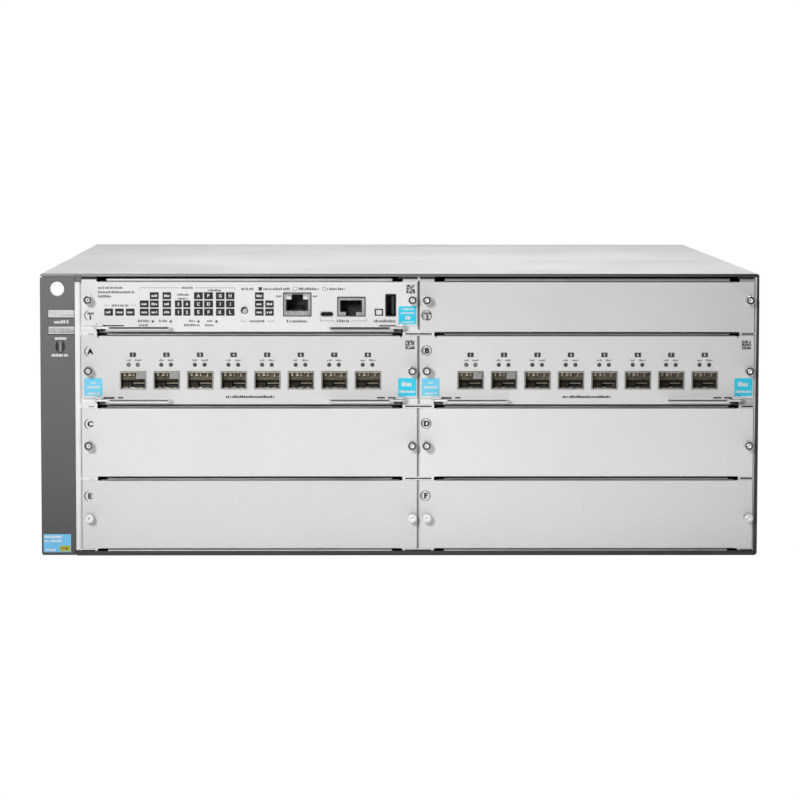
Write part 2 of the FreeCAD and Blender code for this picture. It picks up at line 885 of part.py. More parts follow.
def jack(share, width, height, rise, key_low, key_high):
    """Shielded modular jack: an open socket with room for the plug's latch above or below."""
    x = along(columns[0], share)
    low = board_top(top_row_base)
    body = box(x - width / 2, x + width / 2, -jack_proud, jack_length, low, low + height)
    half = socket_width / 2
    key = socket_key_width / 2
    socket = box(x - half, x + half, -jack_proud - 1, socket_depth, low + rise, low + rise + socket_height)
    latch = box(x - key, x + key, -jack_proud - 1, socket_depth, low + key_low, low + key_high)
    return body.cut(fuse([socket, latch]))


def network_jack():
    key_low = network_socket_rise + socket_height
    return jack(network_jack_share, network_jack_width, network_jack_height, network_socket_rise,
                key_low, key_low + network_key_height)


def console_jack():
    return jack(console_jack_share, console_jack_width, console_jack_height, console_socket_rise,
                console_socket_rise - console_key_height, console_socket_rise)


def tube_socket(x, width, low, height, length, wall, tongue):
    """Open metal shell with a contact tongue inside, for the two serial ports."""
    shell = box(x - width / 2, x + width / 2, -jack_proud, length, low, low + height)
    inner = box(x - width / 2 + wall, x + width / 2 - wall, -jack_proud - 1, length - wall,
                low + wall, low + height - wall)
    blade = box(x - tongue[0] / 2, x + tongue[0] / 2, jack_proud, length, low + height / 2 - tongue[1] / 2,
                low + height / 2 + tongue[1] / 2)
    return fuse([shell.cut(inner), blade])


def connector_rooms():
    """Windows in the management faceplate for its four connectors."""
    low = board_top(top_row_base)
    rooms = []
    for share, width, height in ((network_jack_share, network_jack_width, network_jack_height),
                                 (console_jack_share, console_jack_width, console_jack_height),
                                 (usb_share, usb_width, usb_height),
                                 (micro_usb_share, micro_usb_width, micro_usb_height)):
        x = along(columns[0], share)
        half = width / 2 + port_clearance
        rooms.append(box(x - half, x + half, -1, plate + 1, low - port_clearance, low + height + port_clearance))
    return rooms


def management_faceplate():
    plate_solid = faceplate(columns[0], top_row_base, True, False)
    cuts = connector_rooms()
    middle = (along(columns[0], button_share), top_row_base + button_rise)
    cuts.append(pin_hole(button_radius + button_fit, "xz", middle, -1, plate + 1, round_sides))
    for share in pin_button_shares:
        x = along(columns[0], share)
        z = top_row_base + pin_button_rise
        half = pin_opening / 2
        cuts.append(box(x - half, x + half, -1, plate + 1, z - half, z + half))
    return plate_solid.cut(cuts)


def status_windows():
    """Smoked windows of the status display, a film laid on the faceplate."""
    films = []
    top = top_row_end - window_top_drop
    for left, width, rows in window_columns:
        for row in rows:
            high = top - (row - 1) * window_pitch
            films.append(box(along(columns[0], left), along(columns[0], left + width), -window_film, 0,
                             high - window_height, high))
    return films


def mode_button():
    """Round button, held behind the faceplate by its collar."""
    x = along(columns[0], button_share)
    z = top_row_base + button_rise
    collar_start = plate + loose
    cap = pin(button_radius, "xz", (x, z), -button_proud, collar_start + button_collar, round_sides)
    half = button_collar_width / 2
    collar = box(x - half, x + half, collar_start, collar_start + button_collar, z - half, z + half)
    return fuse([cap, collar])


def pin_button(share):
    """Square plunger behind its pinhole, guided by the switch under the board."""
    x = along(columns[0], share)
    z = top_row_base + pin_button_rise
    half = pin_button_width / 2
    front = plate + pin_button_gap
    return box(x - half, x + half, front, switch_front() + pin_switch_depth - 2 * pin_button_travel,
               z - half, z + half)


def switch_front():
    return plate + 2 * pin_button_gap + 2 * pin_button_travel


def management_board():
    """Board of the management module with the switches behind its buttons."""
    solid = module_board(columns[0], top_row_base, top_board_rise)
    pieces = [solid]
    cuts = []
    under = top_row_base + top_board_rise
    for share in pin_button_shares:
        x = along(columns[0], share)
        z = top_row_base + pin_button_rise
        half = pin_switch_width / 2
        y0 = switch_front()
        pieces.append(box(x - half, x + half, y0, y0 + pin_switch_depth, z - pin_switch_floor, under))
        room = pin_button_width / 2 + pin_guide
        cuts.append(box(x - room, x + room, y0 - 1, y0 + pin_switch_depth - pin_button_travel / 2,
                        z - room, z + room))
    x = along(columns[0], button_share)
    start = plate + loose + button_collar + button_travel + loose
    half = button_collar_width / 2
    pieces.append(box(x - half, x + half, start, start + button_collar_width, under + board,
                      top_row_base + button_rise + half))
    return fuse(pieces).cut(cuts)


def rear_frame():
    """Rear wall with the bay openings, the shelf over the supplies and the wall between them."""
    half = right_edge - sheet - insert_fit - sheet
    wall = box(-half, half, rear_frame_front, rear_frame_back, sheet, cover_under)
    rooms = []
    for side in (-1, 1):
        middle = side * supply_middle
        reach = supply_width / 2 + loose
        rooms.append(box(middle - reach, middle + reach, rear_frame_front - 1, rear_frame_back + 1,
                         sheet, supply_top + loose))
    rooms.append(box(-fan_tray_half_width - loose, fan_tray_half_width + loose, rear_frame_front - 1,
                     rear_frame_back + 1, rear_shelf_top, fan_opening_top))
    for side in (-1, 1):
        x = right_edge - lug_side_gap + side * lug_spacing / 2
        rooms.append(rod(lug_hole_radius, (x, rear_frame_front - 1, cover_under - lug_drop), sheet + 2, (0, 1, 0)))
    shelf_solid = box(-half, half, rear_frame_back - rear_shelf_length, rear_frame_back,
                      rear_shelf_base, rear_shelf_top)
    divider = box(-bay_divider / 2, bay_divider / 2, rear_frame_back - rear_shelf_length, rear_frame_front,
                  sheet, rear_shelf_base)
    return fuse([wall.cut(rooms), shelf_solid, divider])


def strap_handle(x, z):
    """Strap handle folded from sheet with sloped corners, standing out behind a plate."""
    half = handle_span / 2
    root = chassis_depth - sheet / 2
    back = chassis_depth + handle_reach
    path = [(x - half, root), (x - half, back - handle_corner), (x - half + handle_corner, back),
            (x + half - handle_corner, back), (x + half, back - handle_corner), (x + half, root)]
    strap = folded(path[::-1], handle_strap)
    return prism(strap, "xy", z - handle_width / 2, z + handle_width / 2)


def slots(x, z, length, height, pitch, count):
    """Level slots through a rear plate, stacked about one middle inside a round field."""
    cuts = []
    for index in range(count):
        rise = (index - (count - 1) / 2) * pitch
        half = math.sqrt((length / 2) ** 2 - rise ** 2)
        cuts.append(box(x - half, x + half, rear_plate_front - 1, chassis_depth + 1,
                        z + rise - height / 2, z + rise + height / 2))
    return cuts


def power_supply(side):
    """Supply case with its rear plate, grille, handle and inlet."""
    middle = side * supply_middle
    left = middle - supply_width / 2
    right = middle + supply_width / 2
    low = sheet + loose
    outer = box(left, right, supply_start, rear_plate_front, low, low + supply_height)
    inner = box(left + supply_wall, right - supply_wall, supply_start + supply_wall, rear_plate_front,
                low + supply_wall, low + supply_height - supply_wall)
    half = supply_window_width / 2
    window_low = low + supply_height / 2 - supply_window_height / 2
    window = box(middle - half, middle + half, supply_start - 1, supply_start + supply_wall + 1,
                 window_low, window_low + supply_window_height)
    case = outer.cut(fuse([inner, window]))
    edge = min(rear_plate_overlap, supply_middle - supply_width / 2 - loose / 2)
    rear = box(left - edge, right + edge, rear_plate_front, chassis_depth, low, rear_shelf_top)
    z = low + inlet_rise
    x = left + inlet_side_gap
    latch_middle = right - latch_side_gap
    grille = slots(left + grille_share * supply_width, z, grille_slot_share * supply_width,
                   grille_slot_height, grille_slot_pitch, grille_slot_count)
    inlet_room = box(x - inlet_width / 2, x + inlet_width / 2, rear_plate_front - 1, chassis_depth + 1,
                     z - inlet_height / 2, z + inlet_height / 2)
    latch_room = box(latch_middle - latch_width / 2 - loose - latch_travel,
                     latch_middle + latch_width / 2 + loose, rear_plate_front - 1, chassis_depth + 1,
                     z - latch_height / 2 - latch_fit, z + latch_height / 2 + latch_fit)
    rear = rear.cut(grille + [inlet_room, latch_room])
    body = fuse([case, rear, strap_handle(right - handle_side_gap, z)])
    return [body, power_inlet(x, z)]


def power_inlet(x, z):
    """Three-pin inlet with two bevelled lower corners, its flange on the rear plate."""
    def shape(half_width, half_height, bevel):
        return [(x - half_width, z + half_height), (x + half_width, z + half_height),
                (x + half_width, z - half_height + bevel), (x + half_width - bevel, z - half_height),
                (x - half_width + bevel, z - half_height), (x - half_width, z - half_height + bevel)]

    back = chassis_depth + inlet_flange
    body = box(x - inlet_width / 2 + insert_fit, x + inlet_width / 2 - insert_fit, back - inlet_depth, back,
               z - inlet_height / 2 + insert_fit, z + inlet_height / 2 - insert_fit)
    flange = box(x - inlet_width / 2 - inlet_flange_edge, x + inlet_width / 2 + inlet_flange_edge,
                 chassis_depth, back, z - inlet_height / 2 - inlet_flange_edge,
                 z + inlet_height / 2 + inlet_flange_edge)
    cavity = prism(shape(inlet_cavity_width / 2, inlet_cavity_height / 2, inlet_corner_cut), "xz",
                   back - inlet_cavity_depth, back + 1)
    pins = []
    for step in (-1, 0, 1):
        px = x + step * inlet_pin_pitch
        pz = z + (inlet_pin_height / 2 if step == 0 else -inlet_pin_height / 4)
        pins.append(box(px - inlet_pin_width / 2, px + inlet_pin_width / 2,
                        back - inlet_cavity_depth - inlet_pin_root,
                        back - inlet_cavity_depth + inlet_pin_length,
                        pz - inlet_pin_height / 2, pz + inlet_pin_height / 2))
    return fuse([fuse([body, flange]).cut(cavity)] + pins)


def supply_latch(side):
    """Spring latch of a supply: a thumb tab on a foot that slides behind the rear plate."""
    x = side * supply_middle + supply_width / 2 - latch_side_gap
    z = sheet + loose + inlet_rise
    half = latch_width / 2
    tall = latch_height / 2
    foot_back = rear_plate_front - latch_fit
    tab = box(x - half, x + half, foot_back - latch_foot, chassis_depth + latch_reach, z - tall, z + tall)
    foot = box(x - half - latch_foot_edge, x + half + latch_foot_edge, foot_back - latch_foot, foot_back,
               z - tall - latch_foot_edge, z + tall + latch_foot_edge)
    return fuse([tab, foot])


def fan_places():
    return [(index - (fan_count - 1) / 2) * fan_pitch for index in range(fan_count)]


def fan_tray():
    """Rear plate, floor and low side walls of the fan drawer, with a slotted grille at each fan."""
    half = fan_tray_half_width
    path = [(-half, fan_tray_base + fan_tray_wall_height), (-half, fan_tray_base),
            (half, fan_tray_base), (half, fan_tray_base + fan_tray_wall_height)]
    tray = prism(folded(path, sheet), "xz", fan_tray_start, rear_plate_front + sheet / 2)
    rear = box(-half - rear_plate_overlap, half + rear_plate_overlap, rear_plate_front, chassis_depth,
               rear_shelf_top + loose, fan_opening_top + rear_plate_overlap)
    cuts = []
    for x in fan_places():
        cuts += slots(x, fan_middle_height, 2 * fan_bore_radius, fan_slot_height, fan_slot_pitch, fan_slot_count)
    handles = [strap_handle(side * fan_pitch / 2, fan_middle_height) for side in (-1, 1)]
    return fuse([tray, rear.cut(cuts)] + handles)


def fan_frames():
    """Square fan housings with a round duct, stator arms and the spindle of each fan."""
    frames = []
    back = rear_plate_front
    front = back - fan_depth
    half = fan_size / 2
    for x in fan_places():
        z = fan_middle_height
        frame = prism(rectangle(x - half, x + half, z - half, z + half), "xz", front, back)
        frame = frame.cut(pin_hole(fan_bore_radius, "xz", (x, z), front - 1, back + 1, round_sides))
        stator = pin(stator_radius, "xz", (x, z), back - stator_thickness, back, hub_sides)
        arms = []
        for turned in (False, True):
            reach = (fan_bore_radius + half) / 2
            across = stator_arm / 2
            wide, tall = (across, reach) if turned else (reach, across)
            arms.append(box(x - wide, x + wide, back - stator_thickness, back, z - tall, z + tall))
        spindle = pin(spindle_radius, "xz", (x, z), back - stator_thickness - hub_length + hub_cap, back)
        frames.append(fuse([frame, stator, spindle] + arms))
    return frames


def fan_rotor(x):
    """Hub and pitched blades that turn on the spindle."""
    z = fan_middle_height
    hub_back = rear_plate_front - stator_thickness - loose
    hub_front = hub_back - hub_length
    hub = pin(hub_radius, "xz", (x, z), hub_front, hub_back, hub_sides)
    bore = pin_hole(spindle_radius + spindle_fit, "xz", (x, z), hub_front + hub_cap, hub_back + 1)
    half = blade_chord / 2
    tip = math.sqrt((fan_bore_radius - blade_tip_gap) ** 2 - half ** 2)
    root = hub_radius - blade_root
    blades = []
    for index in range(blade_count):
        blade = box(-blade_thickness / 2, blade_thickness / 2, -half, half, root, tip)
        blade.rotate(vector(0, 0, 0), vector(0, 0, 1), blade_pitch_angle)
        blade.rotate(vector(0, 0, 0), vector(0, 1, 0), 360 * index / blade_count)
        blade.translate(vector(x, (hub_front + hub_back) / 2, z))
        blades.append(blade)
    return fuse([hub] + blades).cut(bore)


def covers():
    """Blank covers, each with its gasket and its two captive screws."""
    places = [("management_cover", columns[1], top_row_base), ("slot_cover_c", columns[0], row_bases[1]),
              ("slot_cover_d", columns[1], row_bases[1]), ("slot_cover_e", columns[0], row_bases[0]),
              ("slot_cover_f", columns[1], row_bases[0])]
    for name, column, base in places:
        screws = [captive_screw(x, z) for x, z in screw_places(column, base)]
        export(name, [faceplate(column, base, False, False), gasket(column, base)] + screws)


def levers_and_screws(name, column, base):
    left = lever(column, base)
    export(name + "_lever_left", [left])
    export(name + "_lever_right", [mirrored(left, column)])
    for side, (x, z) in zip(("left", "right"), screw_places(column, base)):
        export(name + "_screw_" + side, [captive_screw(x, z)])


def line_module(name, column):
    base = row_bases[-1]
    front = faceplate(column, base, True, True).cut(port_windows(column, base))
    export(name + "_faceplate", [front, gasket(column, base)])
    export(name + "_carrier", [carrier(column, base, line_board_rise)])
    export(name + "_board", [module_board(column, base, line_board_rise)])
    export(name + "_port_cages", port_cages(column, base))
    levers_and_screws(name, column, base)


def management_module():
    export("management_faceplate", [management_faceplate(), gasket(columns[0], top_row_base)])
    export("management_carrier", [carrier(columns[0], top_row_base, top_board_rise)])
    export("management_board", [management_board()])
    export("network_jack", [network_jack()])
    export("console_jack", [console_jack()])
    low = board_top(top_row_base)
    export("usb_port", [tube_socket(along(columns[0], usb_share), usb_width, low, usb_height, usb_length, usb_wall,
                                    (usb_tongue, usb_height - 4 * usb_wall))])
    export("micro_usb_port", [tube_socket(along(columns[0], micro_usb_share), micro_usb_width, low,
                                          micro_usb_height, micro_usb_length, micro_usb_wall,
                                          (micro_usb_width / 2, micro_usb_wall))])
    export("status_windows", status_windows())
    export("mode_button", [mode_button()])
    for index, share in enumerate(pin_button_shares):
        export("pin_button_" + str(index + 1), [pin_button(share)])
    levers_and_screws("management", columns[0], top_row_base)


def chassis():
    export("chassis_tray", [chassis_tray()])
    export("top_cover", [top_cover()])
    export("front_post", [front_post()])
    export("centre_divider", [centre_divider()])
    export("bay_shelves", bay_shelves())
    export("backplane_board", [backplane_board()])
    export("backplane_connectors", backplane_connectors())
    export("rear_frame", [rear_frame()])
    export("front_bezel", [front_bezel()])
    export("light_bars", [light_bar(power_bar_drop), light_bar(fault_bar_drop)])
    export("locator_lens", [locator_solid(0, -bezel_proud, locator_depth - bezel_proud)])
    export("badge_disc", [badge_disc()])


def rear_modules():
    export("fan_tray", [fan_tray()])
    export("fan_frames", fan_frames())
    for index, x in enumerate(fan_places()):
        export("fan_rotor_" + str(index + 1), [fan_rotor(x)])
    for index, side in enumerate((-1, 1)):
        export("power_supply_" + str(index + 1), power_supply(side))
        export("supply_latch_" + str(index + 1), [supply_latch(side)])


chassis()
management_module()
line_module("module_a", columns[0])
line_module("module_b", columns[1])
covers()
rear_modules()
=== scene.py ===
import math
import random

import bmesh
import bpy
from mathutils import Matrix, Vector


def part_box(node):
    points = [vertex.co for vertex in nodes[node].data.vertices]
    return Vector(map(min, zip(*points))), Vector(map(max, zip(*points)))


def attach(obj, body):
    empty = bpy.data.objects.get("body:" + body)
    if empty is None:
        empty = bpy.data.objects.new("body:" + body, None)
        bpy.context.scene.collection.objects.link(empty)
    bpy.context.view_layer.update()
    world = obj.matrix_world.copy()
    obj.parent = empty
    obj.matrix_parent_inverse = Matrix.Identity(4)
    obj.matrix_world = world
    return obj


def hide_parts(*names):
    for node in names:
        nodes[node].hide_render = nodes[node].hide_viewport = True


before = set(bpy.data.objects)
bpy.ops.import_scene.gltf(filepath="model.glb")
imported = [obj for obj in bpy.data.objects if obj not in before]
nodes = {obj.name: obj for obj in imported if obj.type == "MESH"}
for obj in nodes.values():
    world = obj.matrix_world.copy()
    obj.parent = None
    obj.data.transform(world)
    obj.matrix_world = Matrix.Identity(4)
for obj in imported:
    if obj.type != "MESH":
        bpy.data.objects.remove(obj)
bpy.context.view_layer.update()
print("frame loaded,", len(nodes), "nodes")

mm = 0.001
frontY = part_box("front_post")[0].y  # plane of the faceplates' fronts
columns = {"left": -196.25, "right": 12.3}  # left edges of the two columns of plates, in millimetres
rows = {"e": 3.0, "c": 47.8, "a": 92.6, "top": 137.4}  # lower edges of the four rows


def place(x, y, z):
    return Vector((x * mm, y * mm + frontY, z * mm))


def boxOf(nodeName):  # a node's limits at rest in x, y and z, in millimetres from the faceplates' plane
    low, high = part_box(nodeName)
    return low.x / mm, high.x / mm, (low.y - frontY) / mm, (high.y - frontY) / mm, low.z / mm, high.z / mm


def middleOf(nodeName):
    x0, x1, _, _, z0, z1 = boxOf(nodeName)
    return (x0 + x1) / 2, (z0 + z1) / 2


def triple(colour):  # one number stands for a grey
    return colour if isinstance(colour, tuple) else (colour,) * 3


def mathNode(operation, swapped=False):
    def apply(wire, other):
        first, second = (other, wire) if swapped else (wire, other)
        return wire.graph.node("ShaderNodeMath", {"operation": operation}, {0: first, 1: second})
    return apply


class Wire:
    def __init__(self, graph, socket):
        self.graph = graph
        self.socket = socket

    __add__, __radd__ = mathNode("ADD"), mathNode("ADD", True)
    __sub__, __rsub__ = mathNode("SUBTRACT"), mathNode("SUBTRACT", True)
    __mul__, __rmul__ = mathNode("MULTIPLY"), mathNode("MULTIPLY", True)
    __pow__, __rpow__ = mathNode("POWER"), mathNode("POWER", True)
    __gt__, __lt__ = mathNode("GREATER_THAN"), mathNode("LESS_THAN")


class Graph:
    def __init__(self, tree):
        self.tree = tree

    def node(self, kind, settings=None, sockets=None, output=0):
        made = self.tree.nodes.new(kind)
        for key, value in (settings or {}).items():
            if key == "stops":
                ramp = made.color_ramp
                while len(ramp.elements) < len(value):
                    ramp.elements.new(0.5)
                for element, (position, colour) in zip(ramp.elements, value):
                    element.position = position
                    element.color = (*triple(colour), 1)
            else:
                setattr(made, key, value)
        for key, value in (sockets or {}).items():
            self.put(made.inputs[key], value)
        return Wire(self, made.outputs[output])

    def put(self, socket, value):
        if isinstance(value, Wire):
            self.tree.links.new(value.socket, socket)
        else:
            socket.default_value = (*triple(value), 1) if socket.type == "RGBA" else value


class Finish(Graph):
    def __init__(self, name, **constants):
        self.material = bpy.data.materials.new(name)
        self.material.use_nodes = True
        super().__init__(self.material.node_tree)
        self.shader = self.tree.nodes["Principled BSDF"]
        self.spot = self.node("ShaderNodeTexCoord", output=3)  # the object's own coordinates
        for socket, value in constants.items():
            self.shader.inputs[socket.replace("_", " ")].default_value = value

    def feed(self, name, value):
        self.put(self.shader.inputs[name], value)

    def axes(self):
        parts = self.node("ShaderNodeSeparateXYZ", None, {0: self.spot}).socket.node
        return [Wire(self, output) for output in parts.outputs]

    def noise(self, scale, detail=3.0, rough=0.55, stretch=(1, 1, 1)):
        spot = self.spot
        if stretch != (1, 1, 1):
            spot = self.node("ShaderNodeVectorMath", {"operation": "MULTIPLY"}, {0: spot, 1: stretch})
        sockets = {"Vector": spot, "Scale": scale, "Detail": detail, "Roughness": rough}
        return self.node("ShaderNodeTexNoise", None, sockets)

    def mix(self, factor, first, second):
        return self.node("ShaderNodeMix", {"data_type": "RGBA"}, {0: factor, 6: first, 7: second}, 2)

    def spread(self, value, low, high):
        return self.node("ShaderNodeMapRange", {"clamp": True}, {0: value, 1: low, 2: high, 3: 0.0, 4: 1.0})

    def colour(self, red, green, blue):
        return self.node("ShaderNodeCombineColor", None, {0: red, 1: green, 2: blue})

    def scaled(self, amount):  # the paint's tone times a number that varies over the part
        settings = {"data_type": "RGBA", "blend_type": "MULTIPLY"}
        return self.node("ShaderNodeMix", settings, {0: 1.0, 6: self.tone, 7: self.colour(amount, amount, amount)}, 2)

    def bump(self, height, depth):
        self.feed("Normal", self.node("ShaderNodeBump", None, {"Strength": 1.0, "Distance": depth, "Height": height}))


paintWear = {"cloud": 14.0, "scuff": 260.0, "scuffShape": (1, 1, 0.06), "scuffFade": 0.105, "gloss": 0.08}


def paint(name, dark, light, rough=0.45, metal=0.0, grain=900.0, depth=0.00003):
    made = Finish(name)
    fine = made.noise(grain, 4.0)
    broad = made.spread(made.noise(paintWear["cloud"]), 0.3, 0.7)
    scuffs = made.spread(made.noise(paintWear["scuff"], 2.0, 0.6, paintWear["scuffShape"]), 0.66, 0.74)
    pale = tuple(min(1, c * 1.2) for c in triple(light))
    made.tone = made.mix(scuffs * paintWear["scuffFade"], made.mix(broad, dark, light), pale)
    made.feed("Base Color", made.tone)
    made.feed("Roughness", rough + (fine - 0.5) * paintWear["gloss"] + (broad - 0.5) * paintWear["gloss"])
    made.feed("Metallic", metal)
    made.bump(fine, depth)
    return made


metalGrain = {"depth": 0.00001, "gloss": 0.14, "cloud": 30.0}


def metal(name, dark, light, rough=0.3, along=(1, 1, 1), streak=420.0):
    made = Finish(name)
    lines = made.noise(streak, 4.0, 0.6, along)
    broad = made.noise(metalGrain["cloud"])
    made.feed("Base Color", made.mix(made.spread(lines * 0.6 + broad * 0.4, 0.3, 0.7), dark, light))
    made.feed("Metallic", 1.0)
    made.feed("Roughness", rough + (lines - 0.5) * metalGrain["gloss"] + (broad - 0.5) * metalGrain["gloss"])
    made.bump(lines, metalGrain["depth"])
    return made


def ink(name, colour, rough=0.5):
    made = Finish(name)
    fine = made.noise(1500.0)
    dark = tuple(c * 0.88 for c in triple(colour))
    light = tuple(min(1, c * 1.08 + 0.004) for c in triple(colour))
    made.feed("Base Color", made.mix(fine, dark, light))
    made.feed("Roughness", rough + (fine - 0.5) * 0.2)
    made.bump(fine, 0.000008)
    return made


# plate tones: partly each plate's own paint, partly painted light, as B, D and F are painted lighter than their
# left-hand neighbours to make up for the light's falloff to the right
plates = {"management": 0.850, "module_a": 0.735, "module_b": 0.770, "slot_2": 0.740, "slot_c": (0.790, 0.783, 0.786),
          "slot_d": (0.830, 0.823, 0.826), "slot_e": (0.725, 0.715, 0.720), "slot_f": (0.765, 0.755, 0.760)}
platePaint = {}
for part, colour in plates.items():
    dark = tuple(c * 0.965 for c in triple(colour))
    platePaint[part] = paint("platePaint_" + part, dark, colour, rough=0.42, grain=1400.0, depth=0.000012)
landPaint = paint("landPaint", 0.84, 0.88, rough=0.4, grain=1400.0, depth=0.00001)
coverPaint = paint("coverPaint", (0.695, 0.697, 0.699), (0.74, 0.742, 0.744), rough=0.36, metal=0.1, grain=1700.0,
                   depth=0.00002)
framePaint = paint("framePaint", (0.038, 0.038, 0.039), (0.046, 0.046, 0.047), rough=0.5, metal=0.1, grain=1500.0,
                   depth=0.00002)
bezelPlastic = paint("bezelPlastic", (0.95, 0.95, 0.96), 1.0, rough=0.5, grain=2200.0, depth=0.00003)
zincSheet = metal("zincSheet", (0.52, 0.53, 0.54), (0.68, 0.69, 0.70), 0.42, (1, 0.05, 1))
# two copies of one gasket steel: the second, lighter copy is painted light for the gaskets that shine brighter, the
# management plate's gasket and the sill gaskets
gasketSteel = metal("gasketSteel", (0.26, 0.255, 0.25), (0.54, 0.535, 0.52), 0.42, (0.05, 1, 1), 160.0)
litGasketSteel = metal("litGasketSteel", 0.50, (0.80, 0.80, 0.79), 0.42, (0.05, 1, 1), 160.0)
# near-black speckled steel, painted shade on the screws' knurled rings and sides
knurlSteel = metal("knurlSteel", 0.02, (0.34, 0.34, 0.33), 0.4, (1, 1, 1), 1500.0)
screwCore = paint("screwCore", 0.84, 0.92, rough=0.25, metal=0.3, grain=1500.0)
portBrown = metal("portBrown", (0.05, 0.042, 0.030), (0.20, 0.17, 0.125), 0.45, (0.3, 1, 1), 700.0)
capPlastic = paint("capPlastic", 0.13, 0.17, rough=0.5, grain=1800.0)
nickel = metal("nickel", 0.70, (0.92, 0.92, 0.91), 0.2, (1, 0.2, 1), 900.0)
leverSteel = paint("leverSteel", (0.82, 0.82, 0.825), 0.90, rough=0.3, metal=0.35, grain=1500.0, depth=0.00001)
cageSteel = metal("cageSteel", (0.44, 0.42, 0.37), (0.68, 0.66, 0.59), 0.3, (1, 0.1, 1))
tabSteel = metal("tabSteel", (0.34, 0.30, 0.22), (0.58, 0.53, 0.43), 0.4, (1, 0.1, 1))
shieldSteel = metal("shieldSteel", 0.50, 0.72, 0.3, (1, 0.1, 1))
gold = metal("goldContact", (0.62, 0.42, 0.14), (0.80, 0.60, 0.26), 0.25)
discSteel = metal("discSteel", (0.74, 0.74, 0.745), (0.84, 0.84, 0.845), 0.42, (1, 1, 1), 1200.0)
blackPlastic = paint("blackPlastic", (0.010, 0.010, 0.011), (0.018, 0.018, 0.019), rough=0.45, grain=1800.0)
fanPlastic = paint("fanPlastic", (0.016, 0.016, 0.017), (0.026, 0.026, 0.028), rough=0.5, grain=1500.0)
boardGreen = paint("boardGreen", (0.010, 0.060, 0.028), (0.018, 0.095, 0.045), rough=0.35, grain=700.0)
latchPlastic = paint("latchPlastic", (0.13, 0.014, 0.035), (0.17, 0.02, 0.05), rough=0.42)
buttonGrey = paint("buttonGrey", (0.44, 0.44, 0.45), (0.52, 0.52, 0.53), rough=0.35)
windowFilm = paint("windowFilm", (0.006, 0.006, 0.0065), (0.010, 0.010, 0.0105), rough=0.6, grain=1200.0,
                   depth=0.000006)
lensDark = paint("lensDark", (0.050, 0.050, 0.051), (0.080, 0.080, 0.082), rough=0.3, grain=1500.0, depth=0.00001)
lensPale = paint("lensPale", 0.26, 0.34, rough=0.3, grain=1500.0, depth=0.00001)
lensEdge = paint("lensEdge", 0.14, 0.18, rough=0.4, grain=1500.0, depth=0.00001)
darkInk = ink("darkInk", (0.020, 0.020, 0.021))
softInk = ink("softInk", 0.17)
paleInk = ink("paleInk", 0.34)
ghostInk = ink("ghostInk", 0.54)
whiteInk = ink("whiteInk", 0.82)
windowInk = ink("windowInk", 0.78)
labelBlue = ink("labelBlue", (0.175, 0.68, 0.93), 0.5)
labelCyan = ink("labelCyan", (0.022, 0.66, 0.90), 0.5)
labelSky = ink("labelSky", (0.16, 0.57, 0.92), 0.5)
labelYellow = ink("labelYellow", (0.50, 0.47, 0.030), 0.5)
labelOlive = ink("labelOlive", (0.15, 0.14, 0.03), 0.4)

clearPlastic = Finish("clearPlastic", IOR=1.49, Transmission_Weight=0.15)
ripple = clearPlastic.noise(260.0, 2.0, 0.5, (0.25, 1, 1))
clearPlastic.feed("Base Color",
                  clearPlastic.mix(clearPlastic.spread(ripple, 0.35, 0.65), (0.50, 0.505, 0.51), (0.82, 0.825, 0.83)))
clearPlastic.feed("Roughness", 0.18 + ripple * 0.12)
clearPlastic.bump(ripple, 0.00005)
print("finishes made:", len(bpy.data.materials))


printDepth = 0.05
forms = {
    "round": lambda step, turn: 1.0,
    "knurl": lambda step, turn: 1.0 if step % 2 else 0.955,
    "cross": lambda step, turn: 0.38 + 0.62 * abs(math.cos(2 * turn)) ** 2.5,
}


def turnsOf(count):
    return [2 * math.pi * step / count for step in range(count)]


def border(x0, x1, z0, z1, edge):  # the four strips round a rectangle
    return (x0, x1, z1 - edge, z1), (x0, x1, z0, z0 + edge), (x0, x0 + edge, z0, z1), (x1 - edge, x1, z0, z1)


